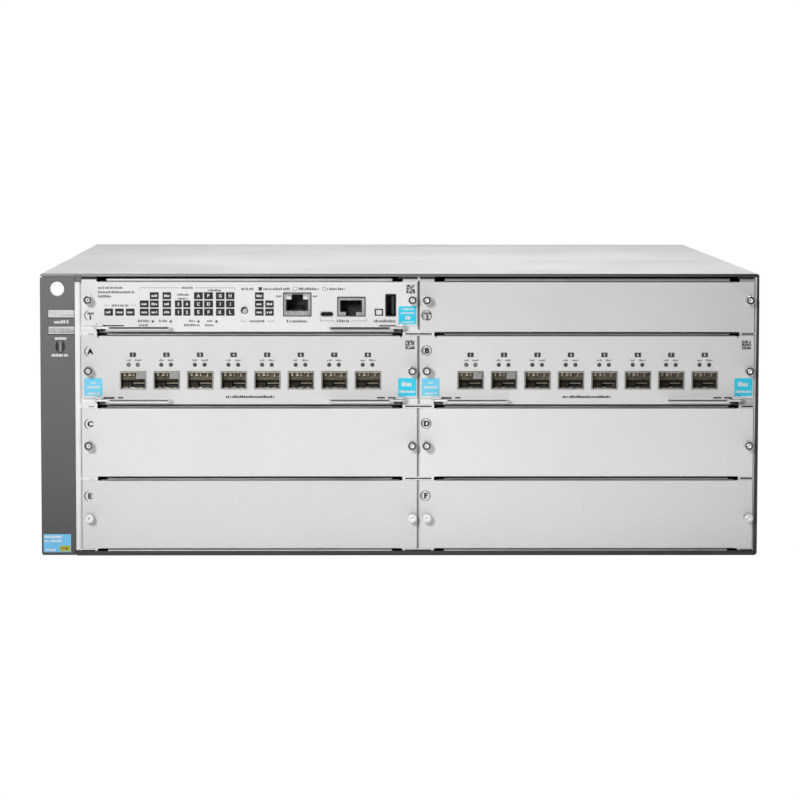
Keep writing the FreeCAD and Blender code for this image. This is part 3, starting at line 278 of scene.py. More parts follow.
class Shape:
    def __init__(self):
        self.mesh = bmesh.new()

    def skin(self, loops, slots=0):  # joins each loop of points to the next and closes both ends
        slots = slots if isinstance(slots, list) else [slots] * len(loops)
        rings = [[self.mesh.verts.new(spot) for spot in loop] for loop in loops]
        outlines = [(rings[0][::-1], slots[0]), (rings[-1], slots[-1])]
        for near, far, slot in zip(rings, rings[1:], slots[1:]):
            for step in range(len(near)):
                after = (step + 1) % len(near)
                outlines.append(((near[step], near[after], far[after], far[step]), slot))
        made = []
        for outline, slot in outlines:
            made.append(self.mesh.faces.new(outline))
            made[-1].material_index = slot
        bmesh.ops.recalc_face_normals(self.mesh, faces=made)

    def box(self, x0, x1, y0, y1, z0, z1, slot=0):
        self.prism([(x0, z0), (x1, z0), (x1, z1), (x0, z1)], "xz", y0, y1, slot)

    def prism(self, outline, plane, low, high, slot=0):
        def spot(u, v, w):
            return {"xz": (u, w, v), "xy": (u, v, w), "yz": (w, u, v)}[plane]
        self.skin([[spot(u, v, w) for u, v in outline] for w in (low, high)], slot)

    def lathe(self, rings, x, z, sides=40):  # rings of (y, radius, form, slot) about an axis along Y
        loops = []
        for y, radius, form, _ in rings:
            loops.append([])
            for step, turn in enumerate(turnsOf(sides)):
                reach = radius * forms[form](step, turn)
                loops[-1].append((x + reach * math.cos(turn), y, z + reach * math.sin(turn)))
        self.skin(loops, [ring[3] for ring in rings])

    def ring(self, x, z, outer, inner, y0, y1, start=0.0, end=360.0, steps=32, slot=0):
        points = []
        full = end - start >= 359.9
        for step in range(steps + (0 if full else 1)):
            turn = math.radians(start + (end - start) * step / steps)
            share = step / steps
            width = (outer - inner) * (1 if full else math.sin(math.pi * share) ** 0.7)
            points.append((math.cos(turn), math.sin(turn), outer - max(width, 0.02)))
        count = len(points)
        for step in range(count if full else count - 1):
            a, b = points[step], points[(step + 1) % count]
            outline = [(x + outer * a[0], z + outer * a[1]), (x + outer * b[0], z + outer * b[1]),
                       (x + b[2] * b[0], z + b[2] * b[1]), (x + a[2] * a[0], z + a[2] * a[1])]
            self.prism(outline, "xz", y0, y1, slot)

    def plaque(self, x0, x1, z0, z1, depth, corner, slot=0):  # a thin label with round corners
        outline = []
        for cx, cz, start in ((x1 - corner, z1 - corner, 0), (x0 + corner, z1 - corner, 90),
                              (x0 + corner, z0 + corner, 180), (x1 - corner, z0 + corner, 270)):
            for step in range(5):
                turn = math.radians(start + step * 22.5)
                outline.append((cx + corner * math.cos(turn), cz + corner * math.sin(turn)))
        self.prism(outline, "xz", -depth, 0.0, slot)

    def words(self, x0, x1, z0, z1, seed, y=0.0, slot=0):  # a line of short strokes where small print would be
        dice = random.Random(seed)
        height = z1 - z0
        x = x0
        while x < x1 - 0.25:
            wide = min(dice.uniform(0.34, 0.62) * height, x1 - x)
            top = z1 - (0.0 if dice.random() < 0.3 else 0.24 * height)
            self.box(x, x + wide, y - printDepth, y, z0, top, slot)
            x += wide + (0.14 if dice.random() < 0.86 else 0.42) * height

    def smallPrint(self, x, z, lines, y=0.0, slot=0):  # lines of (x0, x1, z0, z1, seed), measured from x and z
        for x0, x1, z0, z1, seed in lines:
            self.words(x + x0, x + x1, z + z0, z + z1, seed, y, slot)

    def patches(self, x, z, spots, slot=0, y=0.0):
        for x0, x1, z0, z1 in spots:
            self.box(x + x0, x + x1, y - printDepth, y, z + z0, z + z1, slot)

    def codeSquare(self, x, z, count, cell, seed, slot=0):  # random cells that stand for nothing
        dice = random.Random(seed)
        for row in range(count):
            for column in range(count):
                if row == 0 or column == 0 or dice.random() < 0.52:
                    self.patches(x + column * cell, z + row * cell, [(0.0, cell, 0.0, cell)], slot)

    def text(self, line, x, z, height, y=0.0, weight=0.0, slot=0):
        spots, outlines = letterShape(line, weight)
        across, upward = [v[0] for v in spots], [v[1] for v in spots]
        scale = height / (max(upward) - min(upward))
        middle = (min(across) + max(across)) / 2, (min(upward) + max(upward)) / 2
        near, far = [[self.mesh.verts.new((x + (u - middle[0]) * scale, depth, z + (v - middle[1]) * scale))
                      for u, v in zip(across, upward)] for depth in (y - printDepth, y)]
        faces = [self.mesh.faces.new([near[i] for i in outline]) for outline in outlines]
        edges = dict.fromkeys((a, b) for outline in outlines for a, b in zip(outline, outline[1:] + outline[:1]))
        for a, b in edges:
            if (b, a) not in edges:
                faces.append(self.mesh.faces.new((near[b], near[a], far[a], far[b])))
        for face in faces:
            face.material_index = slot

    def copyOf(self, verts):  # takes one loose part of another mesh, welded, back into millimetres
        spots = {v: self.mesh.verts.new((v.co.x / mm, (v.co.y - frontY) / mm, v.co.z / mm)) for v in verts}
        for face in sorted({f for v in verts for f in v.link_faces}, key=lambda f: f.index):
            self.mesh.faces.new([spots[v] for v in face.verts])
        bmesh.ops.dissolve_limit(self.mesh, angle_limit=math.radians(edgeLook["flat"]), verts=self.mesh.verts,
                                 edges=self.mesh.edges)
        return self

    def reach(self):
        spots = [v.co for v in self.mesh.verts]
        return [(min(s[i] for s in spots), max(s[i] for s in spots)) for i in range(3)]

    def mirror(self, middle):
        for vert in self.mesh.verts:
            vert.co.x = 2 * middle - vert.co.x
        bmesh.ops.reverse_faces(self.mesh, faces=self.mesh.faces)

    def piece(self, name, looks, body, bevel=0.0, steps=2, replaces=(), slot=None):
        for vert in self.mesh.verts:
            vert.co = place(*vert.co)
        data = bpy.data.meshes.new(name)
        self.mesh.to_mesh(data)
        self.mesh.free()
        made = bpy.data.objects.new(name, data)
        bpy.context.scene.collection.objects.link(made)
        for look in (looks if isinstance(looks, list) else [looks]):
            data.materials.append(look.material)
        data.shade_smooth()
        data.set_sharp_from_angle(angle=math.radians(edgeLook["smooth"]))
        if bevel:
            roundEdges(made, bevel, steps)
        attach(made, body)
        if replaces:
            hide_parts(*replaces)


letterCache = {}


def letterShape(line, weight):
    if (line, weight) not in letterCache:
        curve = bpy.data.curves.new("letters", "FONT")
        curve.body = line
        curve.offset = weight
        holder = bpy.data.objects.new("letters", curve)
        bpy.context.scene.collection.objects.link(holder)
        bpy.context.view_layer.update()
        data = bpy.data.meshes.new_from_object(holder.evaluated_get(bpy.context.evaluated_depsgraph_get()))
        letterCache[(line, weight)] = ([tuple(v.co) for v in data.vertices], [tuple(p.vertices) for p in data.polygons])
        bpy.data.meshes.remove(data)
        bpy.data.objects.remove(holder)
        bpy.data.curves.remove(curve)
    return letterCache[(line, weight)]


edgeLook = {"smooth": 35.0, "bevel": 40.0, "flat": 0.5, "weld": 0.00001}  # angles in degrees, weld in metres


def roundEdges(made, bevel, steps):
    rounding = made.modifiers.new("rounding", "BEVEL")
    rounding.width = bevel * mm
    rounding.segments = steps
    rounding.limit_method = "ANGLE"
    rounding.angle_limit = math.radians(edgeLook["bevel"])
    rounding.harden_normals = True


def dress(nodeName, look, bevel=0.0, steps=2):  # a CAD node keeps its shape and gets a finish and soft edges
    made = nodes[nodeName]
    made.data.materials.clear()
    made.data.materials.append(look.material)
    if bevel:
        made.modifiers.new("weld", "WELD").merge_threshold = edgeLook["weld"]
        flat = made.modifiers.new("flat", "DECIMATE")
        flat.decimate_type = "DISSOLVE"
        flat.angle_limit = math.radians(edgeLook["flat"])
        roundEdges(made, bevel, steps)


def looseParts(nodeName):  # a node's loose parts: the largest seen from the front first, of two alike the upper
    source = bmesh.new()
    source.from_mesh(nodes[nodeName].data)
    bmesh.ops.remove_doubles(source, verts=source.verts, dist=0.000002)
    source.verts.index_update()
    source.faces.index_update()
    waiting = dict.fromkeys(source.verts)
    found = []
    while waiting:
        part = [waiting.popitem()[0]]
        for vert in part:  # the list grows as the part's edges are followed
            for edge in vert.link_edges:
                near = edge.other_vert(vert)
                if near in waiting:
                    del waiting[near]
                    part.append(near)
        found.append(Shape().copyOf(sorted(part, key=lambda vert: vert.index)))
    source.free()

    def order(part):
        (x0, x1), _, (z0, z1) = part.reach()
        return -round((x1 - x0) * (z1 - z0), 3), -z0, x0
    return sorted(found, key=order)


screwLook = {"front": -7.2, "radius": 2.95, "neck": -0.8, "shaftRadius": 1.4, "shaftEnd": 7.2, "boss": 1.4,
             "groove": 2.15, "grooveDepth": 0.7, "recess": 0.62, "recessDepth": 1.6, "rim": 3.3, "waist": 3.9,
             "teeth": 9}


def screwShape(shape, x, z, face=1):
    s = screwLook
    front, outer, shaft, neck, end = s["front"], s["radius"], s["shaftRadius"], s["neck"], s["shaftEnd"]
    rim, waist, floor = front + s["rim"], front + s["waist"], front + s["grooveDepth"]
    boss, groove = s["boss"], s["groove"]
    # painted shade: the cross recess is always black, the groove and the knurled ring take black for face 1 and the
    # dark knurlSteel for face 2, and the head's sides take knurlSteel too
    shape.lathe([
        (front + s["recessDepth"], 0.1, "cross", 1), (front + s["recessDepth"] * 0.9, s["recess"] * 0.7, "cross", 1),
        (front + 0.35, s["recess"], "cross", 1), (front + 0.22, s["recess"] * 1.25, "round", 0),
        (front + 0.12, boss * 0.7, "round", 0), (front + 0.3, boss, "round", 0), (floor, boss + 0.02, "round", face),
        (floor, groove - 0.1, "round", face), (front + 0.15, groove, "knurl", face),
        (front, groove + 0.15, "knurl", face), (front, outer - 0.3, "knurl", face),
        (front + 0.35, outer - 0.08, "round", 0), (front + 0.45, outer, "knurl", 2), (rim, outer, "knurl", 2),
        (rim + 0.1, outer - 0.45, "round", 2), (waist, outer - 0.45, "round", 2),
                 (waist + 0.1, outer - 0.1, "round", 0),
        (neck - 0.2, outer - 0.1, "round", 0), (neck, outer - 0.3, "round", 0), (neck, shaft, "round", 0),
        (end - 0.5, shaft, "round", 0), (end, shaft - 0.5, "round", 0),
    ], x, z, 48)
    if face == 1:  # painted highlights: bright teeth in the black ring, which is itself painted shade among the knurl's teeth
        for tooth in range(s["teeth"]):
            start = 8 + tooth * 360 / s["teeth"]
            shape.ring(x, z, outer - 0.1, groove - 0.2, front - 0.03, front + 0.3, start, start + 19, 2, 0)


screwLooks = [screwCore, blackPlastic, knurlSteel]
for module in ("management", "module_a", "module_b"):
    for side in ("left", "right"):
        node = module + "_screw_" + side
        shape = Shape()
        screwShape(shape, *middleOf(node), 1 if module == "management" else 2)
        shape.piece(node + "_turned", screwLooks, node, replaces=[node], slot="screw_steel")
print("captive screws made")


plateNodes = {
    "management_faceplate": ("management_module", "management"), "module_a_faceplate": ("module_a", "module_a"),
    "module_b_faceplate": ("module_b", "module_b"), "management_cover": ("management_cover", "slot_2"),
    "slot_cover_c": ("slot_cover_c", "slot_c"), "slot_cover_d": ("slot_cover_d", "slot_d"),
    "slot_cover_e": ("slot_cover_e", "slot_e"), "slot_cover_f": ("slot_cover_f", "slot_f"),
}
gasketLook = {"front": 0.5, "back": 3.0, "rise": 1.7, "topRise": 2.25}
coverScrewFace = {"slot_2": 1, "slot_c": 2, "slot_d": 2}  # the others have a plain face
for node, (body, tone) in plateNodes.items():
    plate, *others = looseParts(node)
    strip = [p for p in others if p.reach()[0][1] - p.reach()[0][0] > 100][0]
    screws = [p.reach() for p in others if p is not strip]
    (x0, x1), _, (low, _) = strip.reach()
    high = plate.reach()[2][1]
    for part in others:
        part.mesh.free()
    front, back = gasketLook["front"], gasketLook["back"]
    top = low + gasketLook["topRise" if "management" in node else "rise"]
    gasket = Shape()
    gasket.prism([(back, low), (front + 1.0, low), (front + 0.5, high + 0.3), (front, high + 0.55), (front, top - 0.65),
                  (front + 0.5, top - 0.1), (front + 1.2, top), (back, top - 0.6)], "yz", x0, x1)
    plate.piece(node + "_sheet", platePaint[tone], body, 0.35, 3, replaces=[node], slot="faceplate_paint")
    look = litGasketSteel if node == "management_faceplate" else gasketSteel
    gasket.piece(node + "_gasket", look, body, 0.12, slot="faceplate_paint")
    if screws:
        shape = Shape()
        for x, _, z in screws:
            screwShape(shape, sum(x) / 2, sum(z) / 2, coverScrewFace.get(tone, 0))
        shape.piece(node + "_screws", screwLooks, body, slot="screw_steel")
print("plates made")


badges = (  # plate, column, row, x and z from their corner, letter
    ("management_faceplate", "left", "top", 4.5, 11.9, "1"), ("management_cover", "right", "top", 3.9, 12.0, "2"),
    ("module_a_faceplate", "left", "a", 4.3, 34.4, "A"), ("module_b_faceplate", "right", "a", 3.9, 35.0, "B"),
    ("slot_cover_c", "left", "c", 4.1, 34.2, "C"), ("slot_cover_d", "right", "c", 3.8, 34.5, "D"),
    ("slot_cover_e", "left", "e", 3.7, 34.2, "E"), ("slot_cover_f", "right", "e", 3.4, 34.3, "F"),
)
badgeLook = {"face": 2.55, "edge": 2.95, "ring": 3.25, "proud": 0.18, "letter": 3.5, "digit": 2.8}
for node, column, row, x, z, letter in badges:
    b = badgeLook
    body, tone = plateNodes[node]
    x, z = columns[column] + x, rows[row] + z
    shape = Shape()
    shape.lathe([(-b["proud"], b["face"], "round", 0), (-0.14, b["edge"] - 0.1, "round", 0),
                 (0.0, b["edge"], "round", 0)], x, z)
    # painted shade: a dark crescent on the badge's left edge; the right-hand badges also get a thin dark arc on the
    # right and a grey crescent inside on the left
    shape.ring(x, z, b["ring"], 2.6, -0.2, 0.0, 100, 255, 24, 1)
    if column == "right":
        shape.ring(x, z, b["ring"], 2.75, -0.2, 0.0, -100, 112, 24, 1)
        shape.ring(x + 0.15, z, 2.7, 1.75, -0.2, -0.1, 105, 275, 24, 2)
    size = b["letter"]
    if letter in "12":
        shape.words(x - 1.3, x + 2.5, z + 0.5, z + 2.3, 3, -b["proud"], 1)
        z -= 1.2
        size = b["digit"]
    for shift in (0.25, 0.42, 0.6):  # three copies side by side make a heavier letter
        shape.text(letter, x + shift, z, size, -b["proud"], 0.03, 1)
    shape.piece(node + "_badge", [platePaint[tone], darkInk, ghostInk if letter in "DF" else paleInk], body)
print("badges made")


leverLook = {"inset": 10.5, "pivotY": -3.2, "blade": 1.2, "lip": 2.0, "lipWall": 1.0, "length": 45.0,
             "width": 5.0, "offset": 1.0, "eye": 2.6, "noseReach": 4.8, "noseWidth": 2.2, "noseTurn": 135}
rivetDome = ((0.0, 1.5), (0.25, 1.5), (0.5, 1.25), (0.62, 0.8), (0.66, 0.02))  # rise and radius


def leverShape(column, high):
    s = leverLook
    x = column + s["inset"]
    y = s["pivotY"]
    low = high - s["blade"]
    front = y - s["width"] / 2 - s["offset"]
    back = front + s["width"]
    end = x + s["length"]
    outline = []
    for turn in range(100, 271, 10):
        outline.append((x + s["eye"] * math.cos(math.radians(turn)), y + s["eye"] * math.sin(math.radians(turn))))
    outline += [(x + 4.4, front + 0.2), (x + 5.8, front), (end - 1.4, front), (end - 0.5, front + 0.4),
                (end, front + 1.3), (end, back - 1.3), (end - 0.5, back - 0.4), (end - 1.4, back), (x + 5.0, back)]
    shape = Shape()
    shape.prism(outline, "xy", low, high)
    shape.box(x + 6.5, end - 1.6, front, front + s["lipWall"], high - s["lip"], high)
    half, tip = s["noseWidth"] / 2, s["noseReach"]
    along, across = math.cos(math.radians(s["noseTurn"])), math.sin(math.radians(s["noseTurn"]))
    nose = [(0, -half), (tip - half, -half), (tip, 0), (tip - half, half), (0, half)]
    shape.prism([(x + u * along - v * across, y + u * across + v * along) for u, v in nose], "xy", low, high)
    return shape


for module, body in (("management", "management_module"), ("module_a", "module_a"), ("module_b", "module_b")):
    column, columnEnd = boxOf(module + "_faceplate")[:2]
    high = boxOf(module + "_lever_left")[5]
    start, pivotY = column + leverLook["inset"], leverLook["pivotY"]
    for side, top in (("left", 1.5), ("right", 1.15)):
        node = module + "_lever_" + side
        shape = leverShape(column, high)
        if module == "management":  # painted shade: a dark line under the lip
            edge = pivotY - leverLook["width"] / 2 - leverLook["offset"]
            end = start + leverLook["length"] - 2.0
            shape.box(start + 7.0, end, edge - 0.02, edge + 0.2, high - 1.75, high - top, 1)
        if side == "right":
            shape.mirror((column + columnEnd) / 2)
        shape.piece(node + "_pressed", [leverSteel, softInk], node, 0.22, 3, replaces=[node], slot="lever_steel")
    rivets = Shape()
    for x in (start, columnEnd - leverLook["inset"]):
        rivets.skin([[(x + radius * math.cos(turn), pivotY + radius * math.sin(turn), high + 1.3 + rise)
                      for turn in turnsOf(24)] for rise, radius in rivetDome])
    rivets.piece(module + "_rivets", nickel, body)
print("levers made")


lineLook = {"count": 8, "cageWide": 16.0, "cageHigh": 10.9, "proud": 0.6, "length": 46.6, "wall": 0.62, "roof": 0.78,
            "lightRise": 26.2, "lightGap": 5.62, "lightStart": -2.7, "numberRise": 32.4, "labelDepth": 0.09}


def cageShape(shape, x, low):
    s = lineLook
    half, front, back, side, roof = s["cageWide"] / 2, -s["proud"], s["length"], s["wall"], s["roof"]
    high = low + s["cageHigh"]
    top = high - roof
    for wall in (x - half, x + half - side):
        shape.box(wall, wall + side, front, back, low, high)
    for sheet in (low, top):
        shape.box(x - half + side, x + half - side, front, back, sheet, sheet + roof)
    shape.box(x - half + side, x + half - side, back - side, back, low + roof, top)
    for step in range(5):  # spring fingers above the plug
        finger = x - half + 2.4 + step * 2.5
        shape.prism([(0.4, top - 0.02), (9.0, top - 0.02), (9.0, top - 0.3), (4.5, top - 1.0), (0.4, top - 0.25)], "yz",
                    finger, finger + 1.3)
    for step in range(3):  # raised stops on the cage floor
        stop = x - half + 2.6 + step * 4.4
        shape.box(stop, stop + 1.9, 1.5, 6.5, low + roof, low + roof + 0.28)


def portInside(shape, x, low, isOpen):
    s = lineLook
    half = s["cageWide"] / 2 - s["wall"]
    floor, roof = low + s["roof"], low + s["cageHigh"] - s["roof"]
    for x0, x1, y0, y1, z0, z1, slot in (
            (-half, half, 12.0, 45.0, floor, floor + 2.6, 0), (-half, half, 13.0, 45.0, floor + 2.6, roof, 4),
            (-half, half, 6.0, 12.0, floor + 3.9, floor + 4.5, 0), (-half, half, 4.6, 5.0, floor + 4.7, roof, 4),
            (-0.3, half - 0.8, 7.0, 12.0, floor + 2.2, floor + 2.6, 2), (-1.2, 1.1, 0.6, 2.2, floor, floor + 0.5, 3)):
        shape.box(x + x0, x + x1, y0, y1, z0, z1, slot)
    tabs = [(-6.0, 1.1, 0.6), (-3.0, 1.6, 0.6), (-0.2, 0.7, 0.6)] + ([] if isOpen else [(3.9, 0.8, 0.3)])
    for left, wide, drop in tabs:
        depth = 2.7 if drop == 0.6 else 3.1
        tab = [(3.0, roof - drop), (3.0, roof - depth + 0.5), (3.5, roof - depth), (4.6, roof - depth), (4.6, roof - drop)]
        shape.prism(tab, "yz", x + left, x + left + wide, 2)
    if isOpen:
        shape.box(x + 1.7, x + half - 0.2, 2.4, 2.8, roof - 4.0, roof - 0.2, 3)
    for step in range(6):
        rail = x - half + 0.5 + step
        shape.box(rail, rail + 0.3, 5.0, 12.0, floor, floor + 3.2, 4)


for module, column, seed in (("module_a", columns["left"], 7), ("module_b", columns["right"], 8)):
    s = lineLook
    base = rows["a"]
    low = boxOf(module + "_port_cages")[4]
    first, last = (edge + turn * s["cageWide"] / 2 for edge, turn in zip(boxOf(module + "_port_cages"), (1, -1)))
    pitch = (last - first) / (s["count"] - 1)
    cages, inside, lights, prints, labels = (Shape() for _ in range(5))
    for index in range(s["count"]):
        x = first + index * pitch
        cageShape(cages, x, low)
        portInside(inside, x, low, index < 2)
        pale = 1 if index < 1 else 2
        for pair, left, right in ((0, 1.4, 1.4), (1, 1.9, 2.0)):
            lx = x + s["lightStart"] + pair * s["lightGap"] - (0.0 if index == 0 else 0.6 - pair * 0.35)
            for lens in (((-0.30, 0.6, 0), (-0.34, 1.0, 0), (-0.22, 1.24, 0), (0.0, 1.28, 0)),
                         ((-0.44, 0.05, pale), (-0.42, 0.25, pale), (-0.36, 0.45, pale), (-0.3, 0.62, pale),
                          (-0.1, 0.7, pale))):
                lights.lathe([(y, radius, "round", slot) for y, radius, slot in lens], lx, base + s["lightRise"], 28)
            prints.words(lx - left, lx + right, base + 28.5, base + 29.6, 11 + index * 2 + pair, 0.0, 1)
        prints.patches(x - 0.1, base + s["numberRise"], [(-1.95, 1.95, -1.4, 1.4)])
        prints.text(str(index + 1), x - 0.1, base + s["numberRise"], 1.7, -printDepth, 0.02, 2)
    prints.smallPrint(column, base, ((88.4, 118.5, 5.6, 7.2, 5), (12.9, 19.6, 4.9, 5.3, 6)))
    for x0, x1 in ((13.0, 19.6), (21.7, 25.0), (181.9, 186.8), (188.6, 194.2)):  # painted shade: dark patches under the levers where the plate's slots show dark
        prints.patches(column, base, [(x0, x1, 5.3, 6.2)])
    prints.codeSquare(column + 199.4, base + 35.9, 14, 0.4, seed)
    labels.plaque(column + 0.9, column + 12.1, base + 7.0, base + 17.9, s["labelDepth"], 0.7, 0)
    labels.plaque(column + 194.9, column + 206.2, base + 6.8, base + 17.9, s["labelDepth"], 0.7, 1)
    labels.smallPrint(column, base, (
        (5.0, 8.0, 14.4, 15.6, 1), (2.6, 10.6, 11.6, 13.2, 2), (3.2, 10.4, 7.9, 9.3, 3), (197.2, 203.6, 12.9, 15.6, 4),
        (195.7, 205.6, 8.9, 10.3, 9)), -s["labelDepth"], 2)
    cages.piece(module + "_cages", cageSteel, module, 0.12, replaces=[module + "_port_cages"], slot="cage_steel")
    inside.piece(module + "_port_inside", [blackPlastic, gold, tabSteel, nickel, portBrown], module)
    lights.piece(module + "_lights", [darkInk, lensPale, lensDark], module)
    prints.piece(module + "_print", [darkInk, softInk, whiteInk], module)
    labels.piece(module + "_labels", [labelBlue, labelCyan, whiteInk], module, 0.02, 1)
print("line modules made")


moduleBody = "management_module"
base = rows["top"]
c = columns["left"]
prints = Shape()
printLines = [
    (9.8, 24.9, 28.3, 29.8), (9.8, 32.5, 25.6, 27.1), (9.8, 17.7, 23.0, 24.5),
    (61.3, 68.3, 28.4, 29.9), (77.4, 85.5, 26.8, 28.2), (58.6, 65.6, 24.1, 25.5), (59.0, 65.2, 21.7, 23.0),
    (18.1, 28.4, 17.4, 19.0), (34.2, 41.3, 7.8, 9.3), (34.9, 40.4, 5.3, 6.7), (47.2, 52.2, 7.9, 9.3),
    (65.6, 69.4, 7.9, 9.3), (62.7, 72.5, 5.3, 6.7), (76.9, 80.7, 7.9, 9.3), (75.6, 81.2, 5.3, 6.7),
    (103.1, 112.6, 7.7, 9.2), (98.1, 106.3, 27.6, 29.2), (111.6, 127.9, 27.6, 29.2), (133.5, 146.0, 27.6, 29.2),
    (150.9, 161.8, 27.6, 29.2), (119.5, 122.8, 23.2, 24.6), (142.1, 144.9, 23.2, 24.6), (126.0, 138.9, 7.6, 9.3),
    (157.1, 164.5, 7.8, 9.4), (180.1, 193.2, 7.7, 9.4),
]
prints.smallPrint(c, base, [(*line, 40 + index) for index, line in enumerate(printLines)])
thin = 0.16
leaders = (  # x0, x1, z, then the end that has a tick and the tick's rise
    (35.8, 59.8, 29.0, 35.8, -1.3), (69.6, 94.1, 29.0, 94.1, -1.3), (13.3, 16.5, 18.2, 0, 0), (30.0, 33.1, 18.2, 0, 0),
    (98.0, 101.6, 8.3, 98.0, 1.1), (114.0, 118.1, 8.3, 118.1, 1.1), (146.9, 155.6, 8.6, 146.9, 1.3),
    (166.0, 175.2, 8.6, 175.2, 1.3))
for x0, x1, z, end, tick in leaders:
    prints.patches(c, base, [(x0, x1, z - thin, z + thin)], 1)
    if tick:
        prints.patches(c, base, [(end - thin, end + thin, min(z, z + tick), max(z, z + tick))], 1)
prints.patches(c, base, [(108.7, 110.8, 27.4, 29.5)], 2)
for x0, x1 in ((9.2, 12.1), (12.8, 25.6), (183.1, 198.6)):  # painted shade: dark patches under the levers where the plate's slots show dark
    prints.patches(c, base, [(x0, x1, 5.25, 6.0)], 2)
prints.patches(c, base, border(130.0, 132.6, 27.2, 29.7, 0.25) + border(148.2, 150.1, 27.4, 29.6, 0.25))
prints.codeSquare(c + 200.0, base + 25.7, 10, 0.53, 21, 2)
prints.piece("management_print", [softInk, paleInk, darkInk], moduleBody)

dress("status_windows", windowFilm)
windowPrint = Shape()
lettering = {68.9: "ACE", 75.1: "BDF", 82.4: "GIK", 88.6: "HJL", 57.1: "31", 62.3: "42"}  # by the windows' left edge
windowColumns = {}
for reach in sorted(part.reach() for part in looseParts("status_windows")):
    windowColumns.setdefault(round(reach[0][0] - c, 1), []).append(reach)
for left, reaches in windowColumns.items():
    known = [line for key, line in lettering.items() if abs(key - left) < 0.3]
    for index, (across, depth, upward) in enumerate(sorted(reaches, key=lambda reach: -reach[2][0])):
        x, y, z = sum(across) / 2, depth[0], sum(upward) / 2
        if known:
            windowPrint.text(known[0][index], x, z, 2.1, y, 0.04)
        elif left > 179:
            windowPrint.patches(x, z, [(-1.75, 1.75, -1.45, 1.45)], 0, y)
        else:
            windowPrint.words(x - 1.7, x + 1.7, z - 0.75, z + 0.75, int(left * 10) + index, y)
windowPrint.piece("management_window_print", windowInk, moduleBody)

label = Shape()
label.plaque(c + 195.2, c + 206.2, base + 6.5, base + 17.7, lineLook["labelDepth"], 0.7)
label.smallPrint(c, base, ((197.2, 205.0, 15.4, 16.5, 1), (196.6, 205.0, 13.0, 14.1, 2), (199.4, 202.4, 9.5, 12.2, 3),
                           (197.0, 204.4, 7.3, 8.4, 4)), -lineLook["labelDepth"], 1)
label.piece("management_label", [labelCyan, whiteInk], moduleBody, 0.02, 1)

jackLook = {"network_jack": {"open": (126.1, 138.7, 14.9, 21.8), "key": (129.1, 136.1, 21.8, 25.0),
                             "depth": 14.0, "rim": 0.45, "windows": True},
            "console_jack": {"open": (159.5, 172.0, 14.1, 21.3), "key": (162.6, 168.9, 11.4, 14.1),
                             "depth": 14.0, "rim": 0.45, "windows": False}}


def jackShape(node, look):
    x0, x1, front, back, z0, z1 = boxOf(node)
    ox0, ox1, oz0, oz1 = (value + shift for value, shift in zip(look["open"], (c, c, base, base)))
    kx0, kx1, kz0, kz1 = (value + shift for value, shift in zip(look["key"], (c, c, base, base)))
    oz0, oz1, kz0, kz1 = max(oz0, z0 + 0.6), min(oz1, z1 - 0.6), max(kz0, z0 + 0.4), min(kz1, z1 - 0.4)
    left, right, bottom, top = ox0 - 0.5, ox1 + 0.5, min(oz0, kz0), max(oz1, kz1)
    shell, core, rim = Shape(), Shape(), Shape()
    for a, b, d, e in ((x0, left, z0, z1), (right, x1, z0, z1), (left, right, top + 0.1, z1),
                       (left, right, z0, bottom - 0.1)):
        shell.box(a, b, front, back, d, e)
    keyAbove = kz0 >= oz1 - 0.1
    keyLow, keyHigh = (oz1, kz1 + 0.1) if keyAbove else (kz0 - 0.1, oz0)
    for a, b, d, e, slot in ((left, kx0, keyLow, keyHigh, 3), (kx1, right, keyLow, keyHigh, 3),
                             (left, ox0, oz0, oz1, 0), (ox1, right, oz0, oz1, 0)):
        core.box(a, b, front + 0.15, back - 0.2, d, e, slot)
    core.box(left, right, look["depth"], back - 0.2, bottom, top)
    edge, lean = (oz0, 1) if keyAbove else (oz1, -1)
    contact = [(6.0, edge + 0.3 * lean), (12.0, edge + 2.6 * lean), (12.0, edge + 2.9 * lean), (6.0, edge + 0.5 * lean)]
    for step in range(8):
        px = (ox0 + ox1) / 2 - 4.3 + step * 1.16
        core.prism(contact, "yz", px, px + 0.45, 1)
    if look["windows"]:
        for a, b in ((ox0 - 0.3, kx0 - 0.35), (kx1 + 0.35, ox1 + 0.3)):
            core.box(a, b, front - 0.05, front + 1.2, oz1 + 0.3, oz1 + 1.9, 2)
    for a, b, d, e in border(x0, x1, z0, z1, look["rim"]):
        rim.box(a, b, front - 0.02, front + 0.1, d, e)
    shell.piece(node + "_shield", shieldSteel, moduleBody, 0.12, replaces=[node], slot="shield_steel")
    core.piece(node + "_insert", [windowFilm, portBrown, whiteInk, shieldSteel], moduleBody)
    rim.piece(node + "_rim", darkInk, moduleBody)


for node, look in jackLook.items():
    jackShape(node, look)

x0, x1, front, _, z0, z1 = boxOf("usb_port")
wall = 0.5
shell, core = Shape(), Shape()
for a, b, d, e in ((x0, x0 + wall, z0, z1), (x1 - wall, x1, z0, z1), (x0 + wall, x1 - wall, z0, z0 + wall),
                   (x0 + wall, x1 - wall, z1 - wall, z1)):
    shell.box(a, b, front, 15.9, d, e)
for d in (z0 + 2.2, z1 - 4.2):  # springs
    shell.prism([(x1 - 0.5, front + 0.3), (x1 - 0.5, 6.0), (x1 - 0.6, 6.0), (x1 - 1.0, 3.5)], "xy", d, d + 2.0)
shell.piece("usb_shell", darkInk, moduleBody, 0.1, replaces=["usb_port"], slot="shield_steel")
core.box(x0 + wall, x1 - wall, 13.0, 15.8, z0 + wall, z1 - wall)
core.box(x1 - 2.6, x1 - 1.1, 0.8, 13.0, z0 + 1.2, z1 - 1.2)  # tongue
for step in range(4):
    core.box(x1 - 2.75, x1 - 2.6, 1.4, 9.0, z0 + 2.6 + step * 2.2, z0 + 3.6 + step * 2.2, 1)
core.piece("usb_insert", [blackPlastic, darkInk], moduleBody)

